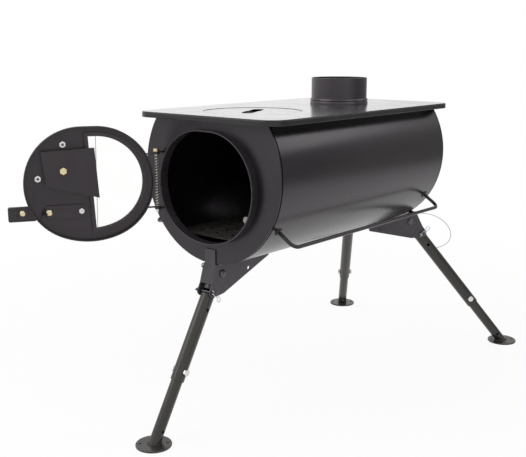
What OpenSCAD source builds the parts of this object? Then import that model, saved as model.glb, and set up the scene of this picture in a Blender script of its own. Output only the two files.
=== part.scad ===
// Portable tent wood stove: a round sheet-steel firebox on three folding, telescoping legs.
// +X is to the right seen from the door, +Y runs from the door towards the flue, +Z is up.
// The origin is the middle of the front foot's sole, on the floor.

/* [Firebox] */
// Outer radius of the firebox drum
body_r = 143.5; // [130:0.5:150]
// Length of the drum over both end plates
body_len = 477; // [440:1:560]
// Height of the drum's axis above the floor
axis_z = 404.5; // [396:0.5:412]
// Thickness of the sheet steel
sheet = 2; // [1.5:0.1:2.5]
// Width of the shadow groove behind each end plate
seam_w = 2; // [1:0.1:3]
// Depth of the flange that each end plate pushes into the drum
plug_depth = 10; // [6:0.5:16]

/* [Cooking plate] */
// Height of the cooking plate's top above the drum's axis
plate_rise = 91; // [88:0.5:96]
// Width of the cooking plate
plate_w = 294; // [270:1:320]
// Overhang of the cooking plate in front of the door end
plate_front = 20.4; // [10:0.1:30]
// Overhang of the cooking plate behind the flue end
plate_back = 14.5; // [8:0.1:25]
// Corner radius of the cooking plate
plate_corner = 28; // [15:1:40]
// Depth of the folded lip under the plate's top
plate_lip = 9; // [6:0.5:14]
// Bend radius along the plate's upper edge
plate_bend = 2.4; // [1:0.1:3]
// Radius of the lift-out hot plate
lid_r = 80; // [65:0.5:85]
// Distance from the plate's front edge to the hot plate's middle
lid_setback = 122; // [105:1:135]
// Gap around the hot plate
lid_gap = 0.5; // [0.3:0.1:1.5]
// Thickness of the hot plate
lid_t = 2.6; // [2.2:0.1:4]
// Width of the seat under the hot plate's edge
seat_w = 8; // [5:0.5:12]
// Length of each lifter slot in the hot plate
slot_len = 17; // [12:0.5:22]
// Width of each lifter slot in the hot plate
slot_w = 4.5; // [3:0.1:6]
// Distance of each lifter slot from the hot plate's middle
slot_off = 12; // [8:0.5:20]

/* [Flue collar] */
// Outer radius of the collar that the flue pipe slides over
collar_r = 50; // [40:0.5:60]
// Height of the collar above the cooking plate
collar_h = 46.7; // [30:0.1:70]
// Distance from the collar's axis to the flue end of the drum
collar_setback = 136.2; // [110:0.1:160]
// How far the base bead stands out from the collar
bead_out = 2.2; // [1:0.1:4]
// Height of the base bead
bead_h = 10; // [6:0.5:16]
// Length of the collar below the cooking plate's sheet
collar_tail = 12; // [5:0.5:20]

/* [Door opening] */
// Radius of the opening's round lower edge, outside the rim
rim_r = 119.2; // [112:0.2:126]
// Height of the rim's flat top above the middle of that round edge
rim_top = 58.5; // [54:0.1:62]
// Corner radius between the flat top and the sides
rim_corner = 87.8; // [84:0.1:90]
// Height of the round edge's middle above the drum's axis
rim_rise = 9.3; // [6:0.1:12]
// How far the rim stands out of the door end
rim_out = 13.5; // [12:0.5:18]

/* [Door] */
// How far the door's edge stands outside the rim
door_lap = 3.2; // [2.8:0.1:4]
// Depth of the door's folded edge
door_lip = 8; // [6:0.5:10]
// Distance from the rim's widest point in to the hinge axis
hinge_in = 11.7; // [9.2:0.1:12.2]
// Distance from the rim's front edge back to the hinge axis
hinge_back = 2; // [1.5:0.1:3]
// Angle by which the door stands open
door_open = 121.6; // [90:0.1:135]
// Gap between the closed door and the rim
door_gap = 0.5; // [0.3:0.1:1]

/* [Window] */
// Margin from the door's edge to the window opening
window_margin = 18.6; // [17:0.1:24]
// How far the window sits above the middle of the door
window_rise = 2.5; // [0:0.1:5]
// Place of the window's straight edge at its upper end, from the door's middle
window_edge_top = 1.2; // [-12:0.1:2]
// Place of the window's straight edge at its lower end, from the door's middle
window_edge_low = -9; // [-20:0.1:-4]
// Thickness of the window glass
glass_t = 3; // [2:0.1:4]
// How far the glass reaches behind the door's sheet
glass_lap = 5; // [3:0.1:5.5]
// Thickness of the window's retaining frame
frame_t = 1.4; // [1:0.1:2]

/* [Air control] */
// Place of the air wheel's bolt across the door, from the door's middle
air_x = 41.2; // [38:0.1:44]
// Place of the air wheel's bolt above the middle of the door
air_z = 24.2; // [20:0.1:28]
// Radius of the rotary air wheel
air_r = 36; // [34:0.5:38]
// Distance from the air wheel's bolt to its two edge bolts
stop_r = 40.4; // [40:0.1:43]
// Width of the air wheel's finger tab
tab_w = 12; // [10:0.5:14]
// Distance from the air wheel's bolt to the end of its tab
tab_reach = 52; // [50:0.5:54]
// Depth of the tab's bent ear
tab_ear = 10; // [8:0.5:12]
// Direction of the first edge bolt
stop_a1 = 92.1; // [85:0.1:100]
// Direction of the second edge bolt
stop_a2 = -17.3; // [-25:0.1:-12]
// Inner radius of the air openings
vent_r0 = 11; // [9:0.5:14]
// Outer radius of the air openings
vent_r1 = 29; // [24:0.5:31]
// Angle that each of the three air openings covers
vent_span = 50; // [35:1:54]
// Radius of the air wheel's bolt
air_bolt_r = 3; // [2.5:0.1:3.5]
// How far the air deflector stands behind the door's sheet
baffle_off = 8; // [6:0.5:10]

/* [Latch] */
// Place of the latch bolt across the door, from the door's middle
latch_x = 65; // [64:0.1:65.5]
// Place of the latch bolt above the middle of the door
latch_z = -42; // [-43:0.1:-41]
// Radius of the latch bolt
latch_bolt_r = 3; // [2.5:0.1:3.5]
// Length of the latch lever from its bolt to the end of the steel
lever_reach = 46.5; // [42:0.5:52]
// Height of the latch lever
lever_h = 21; // [18:0.5:24]
// Gap between the door's sheet and the latch lever
lever_off = 3.2; // [3:0.1:4]
// Length of the handle grip
grip_len = 43; // [36:0.5:50]
// Height of the handle grip
grip_h = 23; // [20:0.5:28]
// Thickness of the handle grip
grip_t = 8; // [6:0.5:12]

/* [Hinge] */
// Radius of the hinge bolt
hinge_bolt_r = 2; // [1.5:0.1:2.2]
// Radius of the hinge tabs' rolled ends
lug_r = 5; // [4.5:0.1:5.5]
// Height of the hinge bolt's head and of its nut
bolt_head = 4; // [3:0.5:5]
// Thickness of the flange under the hinge bolt's head
bolt_flange = 0.8; // [0.5:0.1:1.2]
// Length of the hinge bolt's thread past its nut
bolt_tail = 1.5; // [1:0.1:3]
// Height of the upper hinge lug's middle above the hinge's middle
hinge_half = 45; // [40:0.5:50]
// Height of the hinge's middle above the drum's axis
hinge_rise = -19.5; // [-24:0.5:-14]
// Mean radius of the hinge spring's curls
spring_r = 2.8; // [2.7:0.05:2.9]
// Radius of the spring wire
wire_r = 0.5; // [0.3:0.05:0.55]
// Number of curls in the hinge spring
spring_turns = 20; // [14:1:20]

/* [Side rails] */
// Radius of the rail's rod
rail_rod_r = 3; // [2.5:0.1:4]
// How far the rail stands off the drum
rail_off = 36; // [30:0.5:45]
// Distance between the rail's two arms
rail_len = 431; // [380:1:440]
// Angle of the rails below the drum's widest line
rail_drop = 33.5; // [28:0.5:38]
// Bend radius of the rails
rail_bend = 12; // [9:0.5:18]

/* [Legs] */
// Angle between a leg and its bracket's upright
splay = 30.2; // [27:0.1:33]
// Upward tilt of the rear brackets
rear_tilt = 9; // [6:0.5:12]
// Direction of the rear legs, turned from the right towards the back
rear_turn = 52; // [46:0.5:58]
// Depth of the front leg's pivot below the drum's underside
front_hang = 15.9; // [15:0.1:18]
// Distance of the front leg's pivot behind the drum's door end
front_inset = 11.5; // [11:0.1:14]
// Height of the rear legs' pivots above the drum's underside
rear_lift = 3; // [0:0.1:3.5]
// Distance of each rear leg's pivot from the middle plane
rear_x = 69.1; // [66:0.1:72]
// Distance of the rear legs' pivots behind the drum's flue end
rear_out = 8.1; // [6:0.1:12]
// Outer radius of the outer tubes
outer_r = 11; // [10:0.1:11.2]
// Inner radius of the outer tubes
outer_bore = 9.5; // [9.3:0.05:9.8]
// Length of the front outer tube below its pivot
front_outer = 181; // [170:1:190]
// Length of the rear outer tubes below their pivots
rear_outer = 229; // [215:1:240]
// Outer radius of the inner tubes
inner_r = 9.25; // [9:0.05:9.25]
// Inner radius of the inner tubes
inner_bore = 7.9; // [7:0.05:8.1]
// Overlap of the two tubes with the leg drawn out
overlap = 38; // [34:1:40]
// Distance from a tube's lower end up to its clamp screws
clamp_up = 16; // [12:0.5:20]
// Radius of the clamp screws
clamp_r = 2.5; // [2:0.1:3]
// Distance of the inner tube's cross hole above the sole, along the leg
foot_hole_up = 23; // [18:0.5:30]
// Radius of the foot disc
foot_r = 28; // [24:0.5:30]
// Thickness of the foot disc
foot_t = 3; // [2:0.1:4]
// Radius of the peg holes in the foot disc
peg_r = 2.5; // [2:0.1:3]
// Radius of the circle of peg holes
peg_circle_r = 21; // [19.5:0.5:23]

/* [Leg brackets] */
// Distance between a bracket's cheeks
cheek_gap = 24; // [23:0.1:26]
// Radius of the leg's pivot bolt
pivot_r = 4; // [3.5:0.1:4.5]
// Radius of the rounded head of the leg about its pivot
head_r = 12.3; // [11.6:0.1:12.6]
// Radius of the lock pin
pin_r = 3; // [2.5:0.1:3.3]
// Distance of the lock pin from the pivot, along the leg
pin_along = 35; // [33:0.5:37]
// Distance of the lock pin outside the leg's axis
pin_out = 4.5; // [4:0.1:5.5]
// Distance of the stowing hole from the pivot
stow_along = 63; // [58:0.5:68]
// Angle of a stowed leg below its bracket's level
stow_drop = 3; // [2.5:0.5:5]
// Length of the front bracket's tail
front_tail = 114; // [100:1:130]
// Length of the rear brackets' tails
rear_tail = 85; // [78:1:86]
// Width of the front bracket's tongue on the door end
tongue_w = 22; // [16:1:26]
// Height of that tongue above the drum's lowest line
tongue_h = 24; // [18:1:30]
// Radius of the lock pin clip's wire
clip_r = 0.75; // [0.6:0.05:0.9]
// Inner radius of the lock pin clip's round end
clip_eye = 2.75; // [2.4:0.05:3.2]
// Radius of the lanyard wire
lanyard_r = 0.6; // [0.5:0.05:0.75]

/* [Fits] */
// Radial running clearance of bolts that something turns on
run_fit = 0.06; // [0.02:0.01:0.1]
// Radial clearance of plain bolt and pin holes
hole_fit = 0.1; // [0.05:0.05:0.2]
// Gap between pieces that slide past each other
side_gap = 0.5; // [0.3:0.1:0.8]

/* [Hidden] */
$fn = 96;
big = 1000;
cut = 1;

// The three legs in order: front, rear right, rear left
front_leg = 0;
right_leg = 1;
left_leg = 2;
front_splay = splay;
rear_splay = splay + rear_tilt;
front_drop = body_r + front_hang;
rear_drop = body_r - rear_lift;
front_pivot_z = axis_z - front_drop;
rear_pivot_z = axis_z - rear_drop;
front_leg_len = front_pivot_z / cos(front_splay);
rear_leg_len = rear_pivot_z / cos(rear_splay);

// Stations along Y: the front foot stands on the origin
front_pivot_y = front_leg_len * sin(front_splay);
door_end_y = front_pivot_y - front_inset;
flue_end_y = door_end_y + body_len;
rear_pivot_y = flue_end_y + rear_out;
collar_y = flue_end_y - collar_setback;
plate_y0 = door_end_y - plate_front;
plate_y1 = flue_end_y + plate_back;
lid_y = plate_y0 + lid_setback;
plate_z = axis_z + plate_rise;
under_z = plate_z - sheet;

function leg_len(leg) = leg == front_leg ? front_leg_len : rear_leg_len;
function leg_outer(leg) = leg == front_leg ? front_outer : rear_outer;
function leg_turn(leg) = [-90, rear_turn, 180 - rear_turn][leg];
function leg_tilt(leg) = leg == front_leg ? 0 : rear_tilt;
function leg_pivot(leg) = [
    [0, front_pivot_y, front_pivot_z],
    [rear_x, rear_pivot_y, rear_pivot_z],
    [-rear_x, rear_pivot_y, rear_pivot_z]][leg];
function leg_reach(leg) = leg_len(leg) * sin(splay + leg_tilt(leg));
function leg_foot(leg) = [
    leg_pivot(leg)[0] + leg_reach(leg) * cos(leg_turn(leg)),
    leg_pivot(leg)[1] + leg_reach(leg) * sin(leg_turn(leg)),
    0];
// Side of the bracket that shows the split ring
function ring_side(leg) = [1, -1, 1][leg];

// Lock pin and stowing hole in the bracket's own plane
pin_u = pin_out * cos(splay) + pin_along * sin(splay);
pin_w = pin_out * sin(splay) - pin_along * cos(splay);
stow_u = -stow_along * cos(stow_drop);
stow_w = -stow_along * sin(stow_drop);
cheek_y = cheek_gap / 2;
cheek_out = cheek_y + sheet;

// Door and rim outlines: [lower radius, flat top, corner radius]
function rim_shape(grow) = [rim_r + grow, rim_top + grow, rim_corner + grow];
rim_z = axis_z + rim_rise;
rim_front_y = door_end_y - rim_out;
hinge_y = rim_front_y + hinge_back;
hinge_z = axis_z + hinge_rise;
// The middle of the door's height, measured from the rim's round middle
door_mid = (rim_top - rim_r) / 2;
door_z = rim_z + door_mid;
door_half = (rim_top + rim_r) / 2 + door_lap;
// The hinge stands inside the rim's widest point
hinge_x = rim_r - hinge_in;
// Faces of the door's sheet, measured from the hinge axis along the closed door's inward side
door_in = -hinge_back - door_gap;
door_out = door_in - sheet;
// Air wheel and lever layers outside the door
wheel_y1 = door_out - side_gap;
wheel_t = 1.5;
wheel_y0 = wheel_y1 - wheel_t;
lever_y1 = door_out - lever_off;
lever_t = 3;
lever_y0 = lever_y1 - lever_t;

// ---------- shared outlines ----------

// Points of a circular arc about (cx, cz)
function arc(cx, cz, r, from, to, steps) = [for (i = [0:steps])
    [cx + r * cos(from + (to - from) * i / steps), cz + r * sin(from + (to - from) * i / steps)]];

// Rounded D: a circle of radius s[0] with a flat top at height s[1] and corners of radius s[2]
function d_points(s) =
    let (dx = sqrt(pow(s[0] - s[2], 2) - pow(s[1] - s[2], 2)),
        turn = asin((s[1] - s[2]) / (s[0] - s[2])))
    concat(
        arc(dx, s[1] - s[2], s[2], turn, 90, 36),
        arc(-dx, s[1] - s[2], s[2], 90, 180 - turn, 36),
        arc(0, 0, s[0], 180 - turn, 360 + turn, 16));

// Part of a ring between two radii and two directions
module sector(r0, r1, from, to) {
    polygon(concat(arc(0, 0, r1, from, to, 12), arc(0, 0, r0, to, from, 12)));
}

module rounded_rect(w, l, r) {
    square([w - 2 * r, l], center = true);
    square([w, l - 2 * r], center = true);
    for (sx = [-1, 1])
        for (sy = [-1, 1])
            translate([sx * (w / 2 - r), sy * (l / 2 - r)])
                circle(r = r);
}

// A flat outline in the X-Z plane, given thickness from y0 to y1
module slab(y0, y1) {
    translate([0, y1, 0])
        rotate([90, 0, 0])
            linear_extrude(y1 - y0)
                children();
}

// A rod along Y from y0 to y1
module rod_y(y0, y1, r) {
    translate([0, y0, 0])
        rotate([-90, 0, 0])
            cylinder(r = r, h = y1 - y0);
}

// A hexagon head or nut along Y, measured across its flats
module hex_y(y0, y1, flats) {
    translate([0, y0, 0])
        rotate([-90, 0, 0])
            cylinder(r = flats / sqrt(3), h = y1 - y0, $fn = 6);
}

// A low domed button head along Y that starts at y0 and rises towards the given side
module button_y(y0, side, r, h) {
    translate([0, y0, 0])
        rotate([-90 * side, 0, 0])
            rotate_extrude()
                polygon(concat([[0, 0], [r, 0]], arc(r - h * 0.7, h * 0.3, h * 0.7, 0, 90, 6), [[0, h]]));
}

// ---------- firebox ----------

module drum(r, y0, y1) {
    translate([0, y0, axis_z])
        rotate([-90, 0, 0])
            cylinder(r = r, h = y1 - y0, $fn = 180);
}

module above_plate() {
    translate([-big / 2, -big / 2, under_z])
        cube([big, 2 * big, big]);
}

module body_shell() {
    color("#2c2b2d")
        difference() {
            drum(body_r, door_end_y + sheet + seam_w, flue_end_y - sheet - seam_w);
            drum(body_r - sheet, door_end_y, flue_end_y);
            above_plate();
        }
}

// End plate with a flange that plugs into the drum; y is its outer face, side points inwards
module end_plate(y, side) {
    difference() {
        union() {
            drum(body_r - 0.5, min(y, y + side * sheet), max(y, y + side * sheet));
            difference() {
                drum(body_r - sheet, min(y, y + side * plug_depth), max(y, y + side * plug_depth));
                drum(body_r - 2 * sheet, y - plug_depth - cut, y + plug_depth + cut);
            }
        }
        above_plate();
    }
}

module front_plate() {
    color("#3a383b")
        difference() {
            end_plate(door_end_y, 1);
            translate([0, 0, rim_z])
                slab(door_end_y - cut, door_end_y + sheet + cut)
                    polygon(d_points(rim_shape(0)));
        }
}

module rear_plate() {
    color("#3a383b") end_plate(flue_end_y, -1);
}

module door_rim() {
    color("#2f2d30")
        difference() {
            translate([0, 0, rim_z])
                slab(rim_front_y, door_end_y + sheet)
                    polygon(d_points(rim_shape(0)));
            translate([0, 0, rim_z])
                slab(rim_front_y - cut, door_end_y + sheet + cut)
                    polygon(d_points(rim_shape(-sheet)));
        }
}

// Small rounded tab inside the rim that the latch finger turns behind
catch_in = latch_x + 11.4;
catch_low = latch_z - 3.5;
catch_high = latch_z + 7;
catch_y = hinge_y + 5;
catch_t = 4;
module door_catch() {
    catch_h = catch_high - catch_low;
    color("#4a484b")
        intersection() {
            translate([0, 0, rim_z])
                slab(catch_y - catch_t / 2, catch_y + catch_t / 2)
                    polygon(d_points(rim_shape(-sheet)));
            translate([0, 0, door_z])
                slab(catch_y - catch_t / 2, catch_y + catch_t / 2)
                    union() {
                        translate([catch_in + catch_h / 2, (catch_low + catch_high) / 2])
                            circle(d = catch_h);
                        translate([catch_in + catch_h / 2, catch_low])
                            square([catch_h * 2, catch_h]);
                    }
        }
}

// Grate: a slotted plate that rests along its long edges on the drum
grate_top = 104.5;
grate_t = 3;
grate_end = 22;
grate_rows = 5;
grate_bars = 17;
module fire_grate() {
    y0 = door_end_y + grate_end;
    y1 = flue_end_y - grate_end;
    pitch_y = (y1 - y0 - grate_end) / grate_bars;
    pitch_x = body_r * 1.2 / grate_rows;
    color("#3b3836")
        difference() {
            intersection() {
                drum(body_r - sheet, y0, y1);
                translate([-big / 2, y0, axis_z - grate_top - grate_t])
                    cube([big, y1 - y0, grate_t]);
            }
            for (i = [0:grate_bars - 1])
                for (j = [0:grate_rows - 2])
                    translate([(j - (grate_rows - 2) / 2) * pitch_x - pitch_x * 0.38,
                        y0 + grate_end / 2 + pitch_y * (i + 0.3), axis_z - grate_top - grate_t - cut])
                        cube([pitch_x * 0.76, pitch_y * 0.4, grate_t + 2 * cut]);
        }
}

// ---------- cooking plate and collar ----------

module plate_at(z) {
    translate([0, (plate_y0 + plate_y1) / 2, z])
        children();
}

// Quarter-round edge built from thin steps: how far each step is set in and its top
bend_steps = 4;
function bend_in(i) = plate_bend * (1 - sin(acos(1 - (i + 0.5) / bend_steps)));

module cooking_plate() {
    l = plate_y1 - plate_y0;
    color("#57565a")
        difference() {
            union() {
                plate_at(plate_z - plate_lip)
                    linear_extrude(plate_lip - plate_bend)
                        rounded_rect(plate_w, l, plate_corner);
                for (i = [0:bend_steps - 1])
                    plate_at(plate_z - plate_bend * (i + 1) / bend_steps)
                        linear_extrude(plate_bend / bend_steps)
                            rounded_rect(plate_w - 2 * bend_in(i), l - 2 * bend_in(i),
                                plate_corner - bend_in(i));
            }
            plate_at(plate_z - plate_lip - cut)
                linear_extrude(plate_lip - sheet + cut)
                    rounded_rect(plate_w - 2 * sheet, l - 2 * sheet, plate_corner - sheet);
            translate([0, lid_y, under_z - cut])
                cylinder(r = lid_r + lid_gap, h = sheet + 2 * cut);
            translate([0, collar_y, under_z - cut])
                cylinder(r = collar_r + bead_out + hole_fit, h = sheet + 2 * cut);
        }
}

module lid_seat() {
    color("#2c2b2d")
        translate([0, lid_y, under_z - sheet])
            difference() {
                cylinder(r = lid_r + seat_w, h = sheet);
                translate([0, 0, -cut])
                    cylinder(r = lid_r - seat_w, h = sheet + 2 * cut);
            }
}

// Lift-out hot plate with two short slots for its lifter
module hot_plate() {
    edge = 0.6;
    color("#5d5c60")
        translate([0, lid_y, under_z])
            difference() {
                rotate_extrude()
                    polygon([[0, 0], [lid_r, 0], [lid_r, lid_t - edge], [lid_r - edge, lid_t], [0, lid_t]]);
                for (side = [-1, 1])
                    translate([side * slot_off * 0.75, -side * slot_off, -cut])
                        linear_extrude(lid_t + 2 * cut)
                            rotate(45) {
                                square([slot_len - slot_w, slot_w], center = true);
                                for (end = [-1, 1])
                                    translate([end * (slot_len - slot_w) / 2, 0])
                                        circle(d = slot_w, $fn = 24);
                            }
            }
}

// The collar's bead starts inside the cooking plate's hole, flush with its underside
module flue_collar() {
    bead_r = bead_h / 4;
    lip_r = 0.8;
    wall = collar_r - sheet;
    top = plate_z + collar_h;
    color("#343336")
        translate([0, collar_y, 0])
            rotate_extrude()
                polygon(concat(
                    [[wall, under_z - collar_tail], [collar_r, under_z - collar_tail], [collar_r, under_z]],
                    [[collar_r + bead_out, under_z], [collar_r + bead_out, plate_z + bead_h * 0.25]],
                    arc(collar_r + bead_out - bead_r * 0.5, plate_z + bead_h * 0.5, bead_r * 0.5, 60, 90, 2),
                    [[collar_r + bead_out, plate_z + bead_h * 0.75]],
                    arc(collar_r + bead_out - lip_r * 2, plate_z + bead_h - lip_r, lip_r, 30, 90, 4),
                    [[collar_r, plate_z + bead_h]],
                    arc(collar_r - lip_r, top - lip_r, lip_r, 0, 90, 4),
                    [[wall, top]]));
}

// ---------- side rails ----------

module rail(side) {
    reach = body_r + rail_off;
    half = rail_len / 2;
    foot_t = 2;
    mid_y = (door_end_y + flue_end_y) / 2;
    color("#262527")
        difference() {
            translate([0, mid_y, axis_z])
                mirror([side < 0 ? 1 : 0, 0, 0])
                    rotate([0, rail_drop, 0]) {
                        translate([reach, -half + rail_bend, 0])
                            rod_y(0, rail_len - 2 * rail_bend, rail_rod_r);
                        for (end = [-1, 1]) {
                            translate([body_r - sheet, end * half, 0])
                                rotate([0, 90, 0])
                                    cylinder(r = rail_rod_r, h = rail_off + sheet - rail_bend);
                            translate([body_r - sheet, end * half, 0])
                                rotate([0, 90, 0])
                                    cylinder(r = rail_rod_r * 2, h = sheet + foot_t);
                            translate([reach - rail_bend, end * (half - rail_bend), 0])
                                rotate([0, 0, end > 0 ? 0 : -90])
                                    rotate_extrude(angle = 90)
                                        translate([rail_bend, 0])
                                            circle(r = rail_rod_r, $fn = 32);
                        }
                    }
            drum(body_r, door_end_y, flue_end_y);
        }
}

module rail_right() { rail(1); }
module rail_left() { rail(-1); }

// ---------- hinge ----------

lug_gap = 0.3;
body_lug_z = hinge_half + sheet;
door_lug_z = body_lug_z - sheet - lug_gap;
spring_half = door_lug_z - sheet;

module hinge_at(z) {
    translate([-hinge_x, hinge_y, hinge_z + z])
        children();
}

// Two tabs welded to the door end, one above and one below the door's lugs
module hinge_lugs() {
    color("#2f2d30")
        for (side = [0, 1])
            mirror_z(side)
                hinge_at_local(body_lug_z - sheet)
                    linear_extrude(sheet)
                        difference() {
                            union() {
                                circle(r = lug_r);
                                translate([-lug_r, 0])
                                    square([2 * lug_r, door_end_y - hinge_y]);
                            }
                            circle(r = hinge_bolt_r + run_fit);
                        }
}

// Both hinge halves share one middle plane: side 1 is the lower, mirrored one
module mirror_z(side) {
    translate([-hinge_x, hinge_y, hinge_z])
        mirror([0, 0, side])
            children();
}

module hinge_at_local(z) {
    translate([0, 0, z])
        children();
}

module hinge_bolt() {
    color("#c9a54a")
        hinge_at(0) {
            translate([0, 0, -body_lug_z - bolt_head - bolt_tail])
                cylinder(r = hinge_bolt_r, h = 2 * body_lug_z + bolt_head + bolt_tail, $fn = 48);
            translate([0, 0, body_lug_z])
                cylinder(r = lug_r, h = bolt_flange);
            translate([0, 0, body_lug_z + bolt_flange])
                cylinder(r = lug_r * 0.95, h = bolt_head, $fn = 6);
        }
}

module hinge_nut() {
    color("#bfc1c4")
        hinge_at(-body_lug_z - bolt_head)
            difference() {
                cylinder(r = lug_r * 0.9, h = bolt_head, $fn = 6);
                translate([0, 0, -cut])
                    cylinder(r = hinge_bolt_r, h = bolt_head + 2 * cut, $fn = 48);
            }
}

// Ring of six points about a path point, with the path running along direction d
function ring_points(p, d, r, sides) =
    let (n = norm(d), t = d / n,
        ref = abs(t[2]) > 0.9 ? [1, 0, 0] : [0, 0, 1],
        a = cross(ref, t) / norm(cross(ref, t)), b = cross(t, a))
    [for (k = [0:sides - 1]) p + r * (cos(360 * k / sides) * a + sin(360 * k / sides) * b)];

// Spring wire: a straight end, the curls about Z, and a straight end
curl_rings = 8;
end_run = 2 * wire_r;
spring_rise = 2 * spring_half - 2 * end_run;
spring_n = spring_turns * curl_rings;
function spring_path(i) =
    i == 0 ? [spring_r, 0, -spring_half]
    : i == spring_n + 2 ? [spring_r, 0, spring_half]
    : let (f = (i - 1) / spring_n)
        [spring_r * cos(360 * spring_turns * f), spring_r * sin(360 * spring_turns * f),
            -spring_half + end_run + spring_rise * f];
// The rings' frame turns with the curl: one axis points outwards, the other along the hinge
function spring_ring(i) =
    let (p = spring_path(i), f = max(0, min(1, (i - 1) / spring_n)),
        a = 360 * spring_turns * f,
        out = [cos(a), sin(a), 0],
        down = i == 0 || i == spring_n + 2 ? [-sin(a), cos(a), 0]
            : i == 1 || i == spring_n + 1 ? [-sin(a), cos(a), -1] * 0.85 : [0, 0, -1])
    [for (k = [0:5]) p + wire_r * (cos(60 * k) * out + sin(60 * k) * down)];
spring_rings = [for (i = [0:spring_n + 2]) spring_ring(i)];
spring_gap = min([for (i = [1:spring_n - curl_rings])
    norm(spring_path(i + curl_rings) - spring_path(i)) - 2 * wire_r]);
echo(least_gap_between_spring_curls = spring_gap);

// One closed tube through a list of rings
module tube(rings) {
    n = len(rings);
    k = len(rings[0]);
    points = [for (ring = rings) for (p = ring) p];
    walls = [for (i = [0:n - 2]) for (j = [0:k - 1])
        let (a = i * k + j, b = i * k + (j + 1) % k) for (f = [[a, a + k, b + k], [a, b + k, b]]) f];
    ends = [for (j = [1:k - 2]) for (f = [[0, j, j + 1],
        [(n - 1) * k, (n - 1) * k + j + 1, (n - 1) * k + j]]) f];
    polyhedron(points = points, faces = concat(walls, ends), convexity = 6);
}

module hinge_spring() {
    color("#3c3b3d")
        hinge_at(0)
            tube(spring_rings);
}

// ---------- door ----------

// The door's own frame: X from the hinge axis along the door, Y inwards when closed, Z up
module door_at() {
    translate([-hinge_x, hinge_y, 0])
        rotate([0, 0, -door_open])
            children();
}

// Points on the door, measured from its middle
module door_spot(x, z) {
    translate([hinge_x + x, 0, door_z + z])
        children();
}

// Outline of the door or of something set in from its edge
module door_outline(inset, rise = 0) {
    translate([hinge_x, rim_z + rise])
        polygon(d_points(rim_shape(door_lap - inset)));
}

// The part of an outline on the hinge side of the window's slanting edge
module window_outline(inset, shift) {
    intersection() {
        door_outline(inset, window_rise);
        translate([hinge_x, door_z])
            polygon([[window_edge_top + shift, door_half], [-body_r, door_half],
                [-body_r, -door_half], [window_edge_low + shift, -door_half]]);
    }
}

module vents() {
    for (i = [0:2])
        rotate(i * 120 + 15)
            sector(vent_r0, vent_r1, -vent_span / 2, vent_span / 2);
}

strip_end = 4.5;
strip_from = 10.5;
strip_to = latch_x + strip_end;
strip_bolt_x = 15;
strip_bolt_z = latch_z + 0.4;
finger_x0 = 6.5;
finger_x1 = 9.8;
hook_x1 = 10.4;
finger_z0 = -4.5;
finger_z1 = -1;
hook_z0 = -10.1;
finger_slot_r0 = 5.6;
finger_slot_r1 = 11.3;

module door_holes() {
    door_spot(air_x, air_z)
        slab(door_out - cut, door_in + cut)
            union() {
                vents();
                circle(r = air_bolt_r + hole_fit);
                for (a = [stop_a1, stop_a2])
                    translate([stop_r * cos(a), stop_r * sin(a)])
                        circle(r = 2 + hole_fit, $fn = 32);
            }
    door_spot(latch_x, latch_z)
        slab(door_out - cut, door_in + cut)
            union() {
                circle(r = latch_bolt_r + hole_fit, $fn = 48);
                sector(finger_slot_r0, finger_slot_r1, -45, 48);
            }
    door_spot(strip_bolt_x, strip_bolt_z)
        slab(door_out - cut, door_in + cut)
            circle(r = 2 + hole_fit, $fn = 32);
    slab(door_out - cut, door_in + cut)
        window_outline(window_margin, 0);
}

module door_panel() {
    bevel = 1;
    lip_y = door_out + door_lip;
    color("#353336")
        door_at()
            difference() {
                union() {
                    slab(door_out, door_out + bevel) door_outline(bevel / 2);
                    slab(door_out + bevel, lip_y) door_outline(0);
                }
                slab(door_in, lip_y + cut) door_outline(sheet);
                door_holes();
            }
}

// Two tabs on the door's folded edge that turn on the hinge bolt
module door_lugs() {
    color("#353336")
        door_at()
            difference() {
                for (side = [0, 1])
                    translate([0, 0, hinge_z])
                        mirror([0, 0, side])
                            translate([0, 0, spring_half])
                                linear_extrude(sheet)
                                    difference() {
                                        union() {
                                            circle(r = lug_r);
                                            translate([0, door_out + 1])
                                                square([body_r - hinge_x, door_lip - 2]);
                                        }
                                        circle(r = hinge_bolt_r + run_fit);
                                    }
                slab(door_out - cut, door_out + door_lip + cut)
                    door_outline(0);
            }
}

module window_glass() {
    color([0.12, 0.12, 0.13, 0.45])
        door_at()
            slab(door_in + 0.1, door_in + 0.1 + glass_t)
                window_outline(window_margin - glass_lap, glass_lap - 0.5);
}

module window_frame() {
    skirt = 1.1;
    room = 0.3;
    y_glass = door_in + glass_t + 0.2;
    color("#2b292c")
        door_at()
            difference() {
                slab(door_in, y_glass + frame_t)
                    window_outline(window_margin - glass_lap - room - skirt, glass_lap + room + skirt);
                slab(door_in - cut, y_glass)
                    window_outline(window_margin - glass_lap - room, glass_lap + room - 0.4);
                slab(door_in - cut, y_glass + frame_t + cut)
                    window_outline(window_margin - 0.5, 0.5);
            }
}

// Air deflector: a shallow pan over the vents, open towards the window
baffle_corners = [[-8.1, 58.7], [74.1, 54.9], [68.6, 1.4], [-13.5, -21]];
module edge_strip(p, q, t) {
    d = (q - p) / norm(q - p);
    n = [d[1], -d[0]];
    polygon([p, q, q + n * t, p + n * t]);
}

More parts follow.
